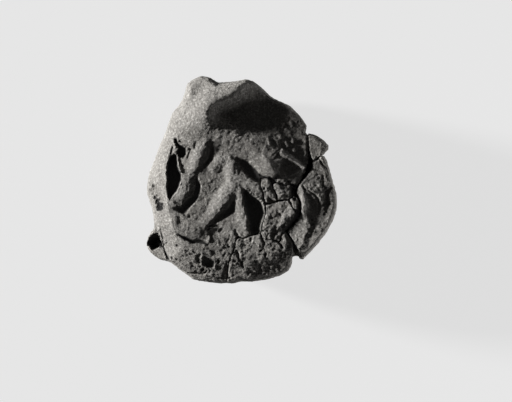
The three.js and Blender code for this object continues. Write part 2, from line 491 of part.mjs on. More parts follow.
// Where a ray from the middle in a given direction leaves the outline
function outlineReach(direction) {
  let reach = 0;
  outline.forEach((a, i) => {
    const edge = outline[(i + 1) % outline.length].clone().sub(a);
    const across = direction.cross(edge);
    if (across === 0) return;
    const along = a.cross(edge) / across;
    const share = a.cross(direction) / across;
    if (along > 0 && share >= 0 && share <= 1) reach = Math.max(reach, along);
  });
  return reach;
}

// The direction from the middle that a place of a square gets when the square's rings
// become rings of an oval
function directionOf(a, b) {
  const quarter = Math.PI / 4;
  const angle =
    Math.abs(a) >= Math.abs(b)
      ? (quarter * b) / (a || 1) + (a < 0 ? Math.PI : 0)
      : 2 * quarter - (quarter * a) / b + (b < 0 ? Math.PI : 0);
  return new THREE.Vector2(Math.cos(angle) * HALF_WIDTH, Math.sin(angle) * HALF_LENGTH).normalize();
}

function ovalReach(direction) {
  return 1 / Math.hypot(direction.x / HALF_WIDTH, direction.y / HALF_LENGTH);
}

// The whole lump as one closed box: its top is the face, its sides bulge from the oval,
// flat foot out to the outline
function lumpGeometry(cells) {
  const box = new THREE.BoxGeometry(1, 1, 1, cells, cells, SIDE_ROWS);
  const place = box.getAttribute("position");
  for (let i = 0; i < place.count; i++) {
    const ring = 2 * Math.max(Math.abs(place.getX(i)), Math.abs(place.getY(i)));
    const up = place.getZ(i) + 0.5;
    const direction = directionOf(place.getX(i), place.getY(i));
    const rim = outlineReach(direction);
    if (up === 1) {
      const at = direction.multiplyScalar(rim * (1 - (1 - ring) ** RIM_CROWDING));
      place.setXYZ(i, at.x, at.y, faceLevel(at.x, at.y));
    } else {
      const foot = FOOT_SHARE * ovalReach(direction);
      const bulge = Math.sqrt(1 - (1 - up) ** 2);
      const at = direction.multiplyScalar(ring * THREE.MathUtils.lerp(foot, rim, bulge));
      place.setXYZ(i, at.x, at.y, up * widestLevel(at.x));
    }
  }
  return box;
}

// All the space below the surface between the two layers, lifted by a given gap
function layerGeometry(lift) {
  const box = new THREE.BoxGeometry(1, 1, 1, LAYER_CELLS, LAYER_CELLS, 1);
  const place = box.getAttribute("position");
  for (let i = 0; i < place.count; i++) {
    const x = place.getX(i) * (LUMP_WIDTH + OVERRUN);
    const y = place.getY(i) * (LUMP_LENGTH + OVERRUN);
    const z = place.getZ(i) > 0 ? layerLevel(x, y) + lift : -OVERRUN;
    place.setXYZ(i, x, y, z);
  }
  return box;
}

// The straight prism over an outline, from a floor up past the clay
function prismGeometry(edge, floor) {
  const shape = new THREE.Shape(edge);
  const prism = new THREE.ExtrudeGeometry(shape, { depth: CUTTER_TOP - floor, bevelEnabled: false });
  return prism.translate(0, 0, floor);
}

function channelGeometry() {
  const route = new THREE.CatmullRomCurve3(placesOf(channelShares));
  const section = new THREE.Shape();
  for (let i = 0; i < BORE_SIDES; i++) {
    const angle = (i / BORE_SIDES) * 2 * Math.PI;
    const corner = [(Math.cos(angle) * CORD_BORE) / 2, (Math.sin(angle) * CORD_BORE) / 2];
    if (i === 0) section.moveTo(...corner);
    else section.lineTo(...corner);
  }
  section.closePath();
  return new THREE.ExtrudeGeometry(section, { steps: BORE_STEPS, extrudePath: route });
}

// The same outline moved outwards all round
function grown(edge, by) {
  const turn = Math.sign(THREE.ShapeUtils.area(edge));
  const outward = (a, b) => new THREE.Vector2(b.y - a.y, a.x - b.x).normalize().multiplyScalar(turn);
  return edge.map((corner, i) => {
    const before = outward(edge[(i + edge.length - 1) % edge.length], corner);
    const after = outward(corner, edge[(i + 1) % edge.length]);
    const middle = before.clone().add(after).normalize();
    const reach = by / Math.max(middle.dot(before), SHARPEST_CORNER_SHARE);
    return corner.clone().addScaledVector(middle, reach);
  });
}

function solidOf(geometry) {
  geometry.deleteAttribute("normal");
  geometry.deleteAttribute("uv");
  const merged = mergeVertices(geometry);
  const mesh = new wasm.Mesh({
    numProp: 3,
    vertProperties: merged.getAttribute("position").array,
    triVerts: new Uint32Array(merged.index.array),
  });
  return new wasm.Manifold(mesh);
}

// The main body of a cut piece, without the crumbs that a cut leaves beside it
function largest(solid) {
  return solid.decompose().reduce((most, body) => (body.volume() > most.volume() ? body : most));
}

// Breaks a fragment out of the stock, down to a floor, with a crack round it and under it
function breakOut(stock, shares, floor) {
  const edge = shares.map(point);
  const piece = stock.intersect(solidOf(prismGeometry(edge, floor)));
  const socket = solidOf(prismGeometry(grown(edge, CRACK_GAP), floor - CRACK_GAP));
  return [largest(piece), stock.subtract(socket)];
}

function meshOf(name, solid, material) {
  const { numProp, vertProperties, triVerts } = solid.simplify(FINEST_STEP).getMesh();
  const corners = new THREE.InterleavedBuffer(vertProperties, numProp);
  const geometry = new THREE.BufferGeometry();
  geometry.setAttribute("position", new THREE.InterleavedBufferAttribute(corners, 3, 0));
  geometry.setIndex(new THREE.BufferAttribute(triVerts, 1));
  geometry.computeVertexNormals();
  const mesh = new THREE.Mesh(geometry, material.clone());
  mesh.name = name;
  return mesh;
}

// Two layers of clay, with the cord's channel between them
const channel = solidOf(channelGeometry());
const padStock = solidOf(lumpGeometry(BACK_CELLS)).intersect(solidOf(layerGeometry(0)));
const backPad = largest(padStock.subtract(channel));
const faceStock = solidOf(lumpGeometry(FACE_CELLS)).subtract(solidOf(layerGeometry(LAYER_GAP)));
const faceLayer = faceStock.subtract(channel);

// The main crack parts the face layer from its notch to the lower end
const belowAll = -OVERRUN;
const fragmentEdge = [...fragmentWallShares, ...rightOfAllShares].map(point);
const lumpEdge = [...lumpWallShares, ...rightOfAllShares].map(point);
const rightSide = faceLayer.intersect(solidOf(prismGeometry(fragmentEdge, belowAll)));
const leftSide = faceLayer.subtract(solidOf(prismGeometry(lumpEdge, belowAll)));

// The smaller fragments, each broken out of what is left
const [cornerCap, fragmentRest] = breakOut(rightSide, cornerCapShares, belowAll);
const [lowerBlock, withoutBlock] = breakOut(leftSide, lowerBlockShares, belowAll);
const [limbChip, withoutChip] = breakOut(withoutBlock, limbChipShares, FIELD_LEVEL - CHIP_DEPTH);
const crumbFloor = FIELD_LEVEL - CRUMB_DEPTH;
const [rightPebble, withoutPebble] = breakOut(withoutChip, rightPebbleShares, crumbFloor);
const [leftPebble, withoutPebbles] = breakOut(withoutPebble, leftPebbleShares, crumbFloor);
const [junctionCrumb, lumpRest] = breakOut(withoutPebbles, junctionCrumbShares, crumbFloor);

const bulla = new THREE.Group();
bulla.add(
  meshOf("back_pad", backPad, padClay),
  meshOf("face_lump", largest(lumpRest), skinClay),
  meshOf("right_fragment", largest(fragmentRest), skinClay),
  meshOf("corner_cap", cornerCap, skinClay),
  meshOf("lower_block", lowerBlock, coreClay),
  meshOf("limb_chip", limbChip, coreClay),
  meshOf("right_pebble", rightPebble, coreClay),
  meshOf("left_pebble", leftPebble, coreClay),
  meshOf("junction_crumb", junctionCrumb, coreClay),
);

export default bulla;
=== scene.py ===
import itertools

import bmesh
import bpy
import numpy as np
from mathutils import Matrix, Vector
from mathutils.bvhtree import BVHTree


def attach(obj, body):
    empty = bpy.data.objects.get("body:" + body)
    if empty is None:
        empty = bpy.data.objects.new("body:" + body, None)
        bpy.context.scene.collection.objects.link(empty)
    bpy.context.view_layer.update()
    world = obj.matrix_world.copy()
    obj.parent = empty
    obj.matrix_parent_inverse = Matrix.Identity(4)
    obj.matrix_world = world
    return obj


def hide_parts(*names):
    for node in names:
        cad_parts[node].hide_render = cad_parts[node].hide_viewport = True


bl_info = {
    "name": "Clay bulla",
    "version": (1, 0, 0),
    "blender": (4, 5, 0),
    "location": "View3D > Sidebar > Bulla",
    "description": "A dried clay sealing with a worn impression, modelled over its frame",
    "category": "Add Mesh",
}

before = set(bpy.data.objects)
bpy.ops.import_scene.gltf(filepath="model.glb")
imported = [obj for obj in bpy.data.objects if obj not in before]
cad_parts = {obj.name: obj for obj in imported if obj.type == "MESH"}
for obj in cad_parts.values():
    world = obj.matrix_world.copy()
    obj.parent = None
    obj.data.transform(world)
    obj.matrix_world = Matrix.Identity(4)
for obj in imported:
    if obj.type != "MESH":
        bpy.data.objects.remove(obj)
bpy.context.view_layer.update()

MM = 0.001

# Random bumps of the clay: size, seed and octaves
LUMPS = (1.1 * MM, 11, 3)
FINE_GRAIN = (0.4 * MM, 21, 1)
GRAIN = (0.8 * MM, 22, 1)
SWELL = (4.5 * MM, 31, 2)
WARP_ACROSS = (1.7 * MM, 61, 2)
WARP_ALONG = (1.7 * MM, 71, 2)
BENDS = [(0.9 * MM, 81, 1), (0.9 * MM, 82, 1), (0.9 * MM, 83, 1)]

# Scattered crumbs and pits: cell, seed, share of the cells that hold one, and radius
CRUMBS = (0.75 * MM, 91, 0.5, 0.35 * MM)
SMALL_PITS = (1.2 * MM, 41, 0.16, 0.4 * MM)
POCKS = (2.6 * MM, 51, 0.15, 0.4 * MM)

SMALLEST_SPECK = 0.4  # of their radius
BEND = 0.25 * MM  # how far they are bent out of round

# How strongly the bumps, crumbs and pits count in the clay's grain
GRAIN_SHARE = 0.8
LUMP_SHARE = 0.3
CRUMB_SHARE = 0.65
SWELL_SHARE = 0.8
POCK_SHARE = 2.2
CALM_WARP = 0.3  # what is left of the warp where the clay is smooth

# Factors that mix the cell's numbers and the seed into a random value
HASH_FACTORS = (73856093, 19349663, 83492791)
HASH_START = 2654435761
HASH_SPIN = 1274126177
HASH_SHIFT = 13
WORD = 0xFFFFFFFF
LOW_BITS = 0xFFFFFF

# Soft borders, from the place where they start to the place where they end
UNDER_TOP = (1.2 * MM, 0.2 * MM)  # down from a piece's own top
INSIDE_RIM = (0.1 * MM, 0.6 * MM)  # inwards from the lump's outline
BROKEN_WALL = (1.2 * MM, 0.2 * MM)  # inwards, where a wall stops being a broken one
LONGEST_MOVE = (2.4 * MM, 1.6 * MM)  # how far the top may be moved
AREA_BORDER = 1.2 * MM  # of a crumbly or stained area
LOWEST_BORDER = 1 * MM

# How the pieces are measured
LOWEST_DEPTH = 1.5  # where the face ends below the flat, as a share of its fall
WALL_STEP = 0.3 * MM  # how far inside its wall a piece's top is looked for
ABOVE_ALL = 1
SAME_PLACE = 1e-6

# Exponents of the profiles, where a larger one makes a more pointed form
HAIRLINE_FULLNESS = 0.7
HOLE_FULLNESS = 0.5
CREST_FALL = 1.3
FAR_WEIGHT = 1e-3  # what a place of the face's table still weighs far from it

# What the painted shade in pits and the painted highlight on ridges read from the form
PIT_SHADE_DEPTH = 0.8  # share of a full pit at which the painted shade is full
# Painted shade in the small pits of crumbly clay and in the pocks
PIT_SHADE_IN_SMALL_PITS = 0.6
PIT_SHADE_IN_POCKS = 0.4
RIDGE_LIGHT_HEIGHT = 0.5  # share of a full ridge at which the painted highlight is full
# How much of the stains and painted shade the ridges lose
DARKENING_OFF_RIDGES = 0.8

# Patterns in the clay's colour: scale per metre, detail and roughness of the noise, where
# the pattern starts and where it is full, and how strongly it then covers
PATTERNS = {
    "mottling": (420, 4, 0.7, 0.45, 0.75, 0.6),
    "patches": (110, 2, 0.5, 0.5, 0.25, 0.5),
    "blotches": (900, 3, 0.7, 0.62, 0.42, 0.6),
    "sand": (2300, 4, 0.8, 0.6, 0.4, 0.46),
    "pale_tone": (2300, 1, 0.5, 0.62, 0.68, 0.55),
    "dark grains": (2000, 2, 0.6, 0.43, 0.36, 0.6),
}
# Painted highlight on the ridges: how strongly it covers
RIDGE_LIGHT_COVER = 0.45
# Stains and painted shade: how strongly they cover
STAIN_AND_SHADE_COVER = 0.5
# Painted shade in pits: how strongly it covers
PIT_SHADE_COVER = 0.85
SHADE_COVER = 0.9
SHADE_RANGE = (0.7, 1)
PALE_SHARE = 1.28
DARK_SHARE = 0.74
# Painted shade in pits: its colour as a share of the dark soil colour
PIT_SHADE_SHARE = 0.45
BLACK = (0, 0, 0)

# The clay's surface
ROUGHNESS = 0.93
SPECULAR = 0.25
BUMP_STRENGTH = 0.9
BUMP_HEIGHT = 0.45 * MM
BUMP_NOISE = (2300, 4, 0.75)
SKIN_BUMP = 0.9
CORE_BUMP = 2.5

# The stage
FLOOR_HALF = 2
FLOOR_RETURN = (0.1, 0.1, 0.1)  # what the floor sends back to the lump
PAPER_TONE = 0.9  # share of its tone that the paper shows without light
CARD_SPREAD = np.radians(60)
CARD_HEIGHT = 1 / 12  # this and the next three as shares of the card's distance
CARD_ASIDE = 1 / 4
CARD_LEVEL = 1 / 24
CARD_AIM = 1 / 4

# Nodes of the frame: slot of the clay, and step of the fine mesh that is made of it
NODES = {
    "back_pad": ("pad_clay", 0.3 * MM),
    "face_lump": ("face_clay", 0.212 * MM),
    "right_fragment": ("face_clay", 0.17 * MM),
    "corner_cap": ("face_clay", 0.15 * MM),
    "lower_block": ("core_clay", 0.17 * MM),
    "limb_chip": ("core_clay", 0.13 * MM),
    "right_pebble": ("core_clay", 0.13 * MM),
    "left_pebble": ("core_clay", 0.13 * MM),
    "junction_crumb": ("core_clay", 0.13 * MM),
}

# The photograph's frame, in its own pixels
PHOTO_WIDTH_PX = 512
PHOTO_HEIGHT_PX = 402
LUMP_MIDDLE_PX = (241, 179.75)
LUMP_WIDTH_PX = 192

# The outline seen from above, in shares of half the width and half the length
OUTLINE_SHARES = [
    (-0.42, 1.0), (-0.33, 0.99), (-0.24, 0.935), (-0.1, 0.945), (0.05, 0.97), (0.13, 0.95),
    (0.2, 0.9), (0.27, 0.83), (0.33, 0.785), (0.42, 0.75), (0.5, 0.715), (0.6, 0.63),
    (0.66, 0.56), (0.69, 0.5), (0.665, 0.455), (0.7, 0.445), (0.78, 0.43), (0.86, 0.38),
    (0.91, 0.33), (0.91, 0.29), (0.86, 0.25), (0.9, 0.17), (0.93, 0.07), (0.965, -0.04),
    (0.99, -0.13), (1.0, -0.24), (0.985, -0.33), (0.94, -0.42), (0.88, -0.52), (0.8, -0.62),
    (0.71, -0.71), (0.65, -0.77), (0.58, -0.76), (0.535, -0.77), (0.525, -0.83),
    (0.49, -0.88), (0.42, -0.92), (0.3, -0.955), (0.2, -0.975), (0.1, -0.985), (0, -0.98),
    (-0.08, -1.0), (-0.25, -1.0), (-0.4, -0.985), (-0.5, -0.965), (-0.56, -0.92),
    (-0.64, -0.87), (-0.72, -0.81), (-0.77, -0.785), (-0.85, -0.77), (-0.92, -0.72),
    (-0.98, -0.66), (-1.0, -0.6), (-0.96, -0.54), (-0.91, -0.5), (-0.9, -0.42), (-0.92, -0.3),
    (-0.955, -0.2), (-0.98, -0.12), (-0.975, -0.02), (-0.95, 0.08), (-0.9, 0.2),
    (-0.85, 0.32), (-0.79, 0.44), (-0.75, 0.55), (-0.72, 0.64), (-0.65, 0.71), (-0.6, 0.79),
    (-0.575, 0.87), (-0.56, 0.93), (-0.5, 0.965),
]

# Places of the face: across, along, and the height over the impression's flat as a share
# of the face's fall
FACE_SHARES = [
    # left flank
    (-0.98, -0.1, -0.65), (-0.95, 0.1, -0.6), (-0.88, 0.3, -0.55), (-0.82, 0.45, -0.5),
    (-0.76, 0.62, -0.5), (-0.88, 0, -0.26), (-0.87, -0.2, -0.28), (-0.84, -0.4, -0.26),
    (-0.8, -0.58, -0.3), (-0.8, 0.2, -0.14), (-0.9, -0.42, -0.55), (-0.77, 0, 0.1),
    (-0.765, -0.2, 0.08), (-0.735, -0.38, 0.05), (-0.7, -0.5, 0.03), (-0.74, 0.28, 0.03),
    (-0.68, 0.45, 0.04),
    # lip beside the mouth of the cord's channel
    (-0.96, -0.6, -0.72), (-0.93, -0.68, -0.74), (-0.84, -0.73, -0.74), (-0.86, -0.6, -0.6),
    # hill at the upper left and the crest beside the thumb's dent
    (-0.66, 0.6, -0.1), (-0.52, 0.6, 0.12), (-0.38, 0.65, 0.3), (-0.52, 0.8, -0.05),
    (-0.3, 0.78, 0.28), (-0.42, 0.93, -0.3), (-0.15, 0.84, 0.24), (0, 0.91, 0.12),
    (-0.22, 0.93, -0.2),
    # shoulder and upper right slope
    (-0.52, 0.45, 0.1), (-0.3, 0.42, 0.09), (-0.1, 0.4, 0.07), (0.08, 0.36, 0.05),
    (0.24, 0.33, -0.01), (0.37, 0.29, -0.05), (0.48, 0.27, -0.1), (0.6, 0.27, -0.18),
    (0.67, 0.38, -0.31), (0.55, 0.4, -0.23), (0.42, 0.42, -0.145), (0.28, 0.43, -0.06),
    (0.02, 0.55, 0.07), (0.1, 0.62, 0.08), (0.1, 0.75, 0.08), (0.3, 0.57, -0.11),
    (0.43, 0.56, -0.175), (0.56, 0.54, -0.25), (0.1, 0.9, 0), (0.3, 0.7, -0.12),
    (0.28, 0.78, -0.13), (0.42, 0.68, -0.19), (0.52, 0.65, -0.26), (0.65, 0.5, -0.34),
    (-0.15, 0.62, 0.12), (0.67, 0.15, -0.18), (0.68, 0.27, -0.23),
    # flat of the impression
    (-0.68, -0.18, 0.04), (-0.67, -0.33, 0.04), (-0.63, -0.45, 0.03), (-0.66, -0.03, 0.04),
    (-0.5, 0.05, 0.03), (-0.5, -0.35, 0.03), (-0.25, 0.2, 0.02), (-0.25, -0.2, 0.01),
    (0, -0.05, 0.01), (0, -0.4, 0), (0.2, -0.3, 0), (0.4, -0.1, -0.01), (0.45, -0.35, 0),
    (0.1, 0.19, 0.01), (0.17, 0.11, 0.01), (0.3, 0.15, 0.09), (0.22, 0.25, 0.05),
    (0.28, 0.07, 0.07), (0.4, 0.19, 0.05), (0.4, 0.07, 0), (0.58, 0.05, -0.06),
    (0.55, -0.2, -0.02), (0, 0.25, 0.03),
    # right fragment
    (0.72, 0.02, -0.09), (0.66, -0.27, -0.03), (0.65, -0.15, -0.04), (0.63, -0.4, -0.03),
    (0.66, -0.53, -0.08), (0.53, -0.54, -0.18), (0.6, -0.62, -0.14), (0.77, -0.13, -0.09),
    (0.78, -0.26, -0.095), (0.8, -0.42, -0.085), (0.84, 0.01, -0.14), (0.92, -0.04, -0.19),
    (0.95, -0.2, -0.17), (0.88, -0.33, -0.12), (0.87, -0.5, -0.1), (0.73, -0.62, -0.1),
    (0.8, -0.68, -0.11), (0.79, 0.17, -0.14), (0.88, 0.13, -0.215), (0.73, 0.4, -0.2),
    (0.78, 0.35, -0.24), (0.86, 0.32, -0.3), (0.6, -0.72, -0.2),
    # lower edge
    (-0.62, -0.64, -0.06), (-0.4, -0.68, -0.05), (-0.2, -0.65, -0.04), (0, -0.65, -0.04),
    (0.2, -0.65, -0.02), (0.4, -0.62, -0.02), (0.5, -0.66, -0.04), (-0.68, -0.78, -0.36),
    (-0.5, -0.82, -0.26), (-0.3, -0.82, -0.2), (-0.1, -0.78, -0.11), (0.07, -0.77, -0.06),
    (0.3, -0.72, -0.03), (0.47, -0.73, -0.05), (-0.5, -0.94, -0.5), (-0.25, -0.95, -0.4),
    (-0.04, -0.94, -0.35), (0.1, -0.88, -0.2), (0.2, -0.97, -0.42), (0.2, -0.87, -0.2),
    (0.32, -0.85, -0.215), (0.4, -0.92, -0.36), (0.5, -0.84, -0.25),
]

# Ridges that the seal left standing: path in shares of the lump's halves, half widths and
# heights along it in shares of a full ridge's, and a fullness under one for a rounder top
RIDGES = [
    # limbs at the left
    ([(-0.365, 0.36), (-0.4, 0.27), (-0.445, 0.18), (-0.51, 0.1)],
     [0.6, 0.95, 1, 0.7], [0.45, 0.75, 0.8, 0.55], 0.9),
    ([(-0.53, 0.05), (-0.575, -0.04), (-0.62, -0.12), (-0.68, -0.2)],
     [0.7, 1.15, 1.2, 0.8], [0.45, 0.6, 0.6, 0.4], 1),
    # hub in the middle
    ([(-0.29, 0.13), (-0.22, 0.18), (-0.13, 0.19)], [0.9, 1.1, 1], [0.45, 0.6, 0.5], 1.5),
    ([(-0.1, 0.15), (-0.09, 0.02), (-0.07, -0.12)], [1, 1.05, 0.9], [0.6, 0.8, 0.7], 1.3),
    # legs, and the arm to the right
    ([(-0.08, -0.05), (-0.165, -0.17), (-0.255, -0.29), (-0.36, -0.4)],
     [1, 1.2, 1.1, 0.7], [0.75, 0.95, 0.8, 0.25], 1),
    ([(-0.02, -0.1), (0.005, -0.22), (0.035, -0.35), (0.075, -0.48)],
     [0.7, 0.9, 1.05, 1], [0.7, 0.7, 0.6, 0.35], 0.8),
    ([(-0.09, 0.03), (0.01, -0.01), (0.1, -0.06), (0.2, -0.12)],
     [1, 1.1, 1, 0.8], [0.75, 0.65, 0.5, 0.3], 1),
    # limb at the lower right
    ([(0.565, -0.19), (0.54, -0.3), (0.475, -0.4), (0.39, -0.5)],
     [0.5, 0.7, 0.75, 0.6], [0.4, 0.65, 0.6, 0.35], 0.8),
    # right fragment
    ([(0.63, -0.1), (0.66, -0.18), (0.67, -0.27), (0.685, -0.37)],
     [0.4, 0.65, 0.65, 0.45], [0.35, 0.6, 0.6, 0.4], 1.1),
    ([(0.68, -0.37), (0.71, -0.42), (0.735, -0.47)], [0.3, 0.25, 0.2], [0.4, 0.35, 0.15], 1),
    ([(0.8, -0.03), (0.83, -0.07), (0.86, -0.11)], [0.3, 0.35, 0.25], [0.2, 0.3, 0.2], 1),
    # lip over the three-cornered hollow
    ([(0.43, 0.245), (0.5, 0.215), (0.58, 0.17), (0.655, 0.12)],
     [0.3, 0.35, 0.35, 0.3], [0.5, 0.8, 0.9, 0.7], 1),
    # bar in the hollow beside the left flank
    ([(-0.67, 0.2), (-0.65, 0.13), (-0.625, 0.07)], [0.25, 0.3, 0.3], [0.3, 0.6, 0.5], 1),
    # crumbs where the cracks meet, and near the lower edge
    ([(0.38, -0.07), (0.42, -0.11), (0.47, -0.12)], [0.75, 0.85, 0.7], [0.4, 0.5, 0.4], 1),
    ([(0.27, -0.08), (0.31, -0.15)], [0.6, 0.6], [0.3, 0.3], 1),
    ([(0.45, -0.53), (0.46, -0.6), (0.455, -0.68)], [0.35, 0.4, 0.35], [0.3, 0.45, 0.3], 1),
    ([(-0.275, -0.76), (-0.265, -0.81), (-0.275, -0.86)], [0.3, 0.35, 0.3], [0.3, 0.4, 0.3], 1),
    # fine strokes and single grains of the upper right slope
    ([(0.31, 0.235), (0.38, 0.31)], [0.15, 0.15], [0.2, 0.3], 1),
    ([(0.33, 0.205), (0.405, 0.28)], [0.15, 0.15], [0.2, 0.3], 1),
    ([(0.32, 0.14), (0.375, 0.175)], [0.15, 0.15], [0.16, 0.2], 1),
    ([(0.287, 0.395), (0.3, 0.34)], [0.15, 0.15], [0.3, 0.35], 1),
    ([(0.455, 0.475), (0.5, 0.455)], [0.25, 0.2], [0.5, 0.4], 1),
    ([(0.35, 0.545), (0.38, 0.53)], [0.2, 0.2], [0.5, 0.4], 1),
    ([(0.515, 0.56), (0.525, 0.52)], [0.2, 0.25], [0.4, 0.5], 1),
    ([(0.53, 0.385), (0.54, 0.365)], [0.25, 0.25], [0.5, 0.5], 1),
    ([(0.55, 0.31), (0.555, 0.27)], [0.2, 0.25], [0.4, 0.5], 1),
    ([(0.405, 0.42), (0.43, 0.405)], [0.25, 0.2], [0.45, 0.4], 1),
    ([(0.465, 0.36), (0.49, 0.325)], [0.2, 0.25], [0.45, 0.5], 1),
    ([(0.42, 0.3), (0.44, 0.265)], [0.2, 0.25], [0.35, 0.4], 1),
    ([(0.44, 0.52), (0.455, 0.53)], [0.2, 0.2], [0.4, 0.4], 1),
    # fine strokes at the upper left
    ([(-0.4, 0.38), (-0.45, 0.27), (-0.52, 0.19), (-0.55, 0.16)],
     [0.15, 0.2, 0.2, 0.15], [0.15, 0.2, 0.25, 0.15], 1),
    ([(-0.66, 0.42), (-0.645, 0.36)], [0.2, 0.2], [0.3, 0.3], 1),
    ([(-0.695, 0.34), (-0.685, 0.27)], [0.15, 0.2], [0.2, 0.3], 1),
]

# Pits and grooves, as the ridges but in shares of a full pit
PITS = [
    # beside the limbs at the left
    ([(-0.325, 0.35), (-0.3, 0.27), (-0.318, 0.19), (-0.38, 0.135), (-0.45, 0.1)],
     [0.35, 0.45, 0.5, 0.45, 0.3], [0.35, 0.6, 0.65, 0.5, 0.3], 0.6),
    ([(-0.465, 0.03), (-0.445, -0.07), (-0.475, -0.17), (-0.55, -0.24), (-0.6, -0.29),
      (-0.68, -0.28)],
     [0.3, 0.55, 0.65, 0.8, 0.8, 0.4], [0.4, 0.8, 0.85, 1.1, 1, 0.4], 0.6),
    # beside the left leg and under the wing
    ([(-0.075, -0.22), (-0.1, -0.29), (-0.18, -0.33), (-0.27, -0.4), (-0.35, -0.45)],
     [0.5, 0.85, 0.8, 0.6, 0.4], [0.6, 0.8, 0.7, 0.5, 0.3], 0.7),
    ([(-0.03, 0.19), (0.05, 0.14), (0.12, 0.07), (0.19, 0.01), (0.24, -0.02)],
     [0.6, 1.1, 1.1, 0.9, 0.5], [0.5, 0.85, 0.9, 0.75, 0.4], 0.7),
    # outer strip of the right fragment
    ([(0.93, -0.05), (0.9, -0.14), (0.9, -0.22), (0.885, -0.3)],
     [0.4, 0.5, 0.5, 0.4], [0.4, 0.6, 0.6, 0.4], 0.8),
    # at the lower edge and beside the left flank
    ([(-0.37, -0.785), (-0.33, -0.81)], [0.8, 1], [0.8, 1.1], 0.5),
    ([(-0.445, -0.745), (-0.435, -0.78)], [0.45, 0.45], [0.5, 0.5], 0.7),
    ([(-0.71, 0.31), (-0.722, 0.25)], [0.2, 0.2], [0.6, 0.6], 0.7),
    # right of the limb at the lower right, and at the end of the wing
    ([(0.59, -0.2), (0.605, -0.28), (0.58, -0.36), (0.51, -0.45), (0.45, -0.49)],
     [0.4, 0.5, 0.5, 0.5, 0.4], [0.4, 0.8, 0.8, 0.7, 0.5], 0.7),
    ([(0.36, -0.52), (0.34, -0.55)], [0.6, 0.5], [0.5, 0.4], 0.7),
    ([(0.3, 0.005), (0.35, -0.01), (0.375, 0.03), (0.385, 0.06)],
     [0.35, 0.5, 0.35, 0.2], [0.6, 0.9, 0.5, 0.2], 0.7),
    # grooves of the lower edge
    ([(-0.315, -0.49), (-0.305, -0.53), (-0.3, -0.58)], [0.2, 0.3, 0.2], [0.3, 0.45, 0.2], 1),
    ([(0.215, -0.54), (0.228, -0.6), (0.22, -0.66)], [0.3, 0.45, 0.3], [0.4, 0.6, 0.3], 0.8),
    ([(-0.055, -0.49), (-0.03, -0.56)], [0.3, 0.45], [0.4, 0.5], 0.8),
    ([(-0.15, -0.79), (-0.155, -0.86), (-0.15, -0.93)], [0.2, 0.35, 0.3], [0.3, 0.5, 0.4], 0.8),
    # shallow grooves of the flat
    ([(-0.63, 0.2), (-0.605, 0.12)], [0.3, 0.25], [0.5, 0.4], 0.8),
    ([(-0.47, 0.37), (-0.475, 0.3)], [0.25, 0.25], [0.25, 0.3], 1),
    ([(-0.52, 0.29), (-0.55, 0.21)], [0.2, 0.25], [0.3, 0.35], 1),
    ([(-0.22, -0.14), (-0.29, -0.24), (-0.35, -0.33)], [0.4, 0.45, 0.3], [0.1, 0.14, 0.1], 1),
    ([(-0.2, 0.085), (-0.23, 0.07)], [0.4, 0.3], [0.35, 0.25], 1),
]

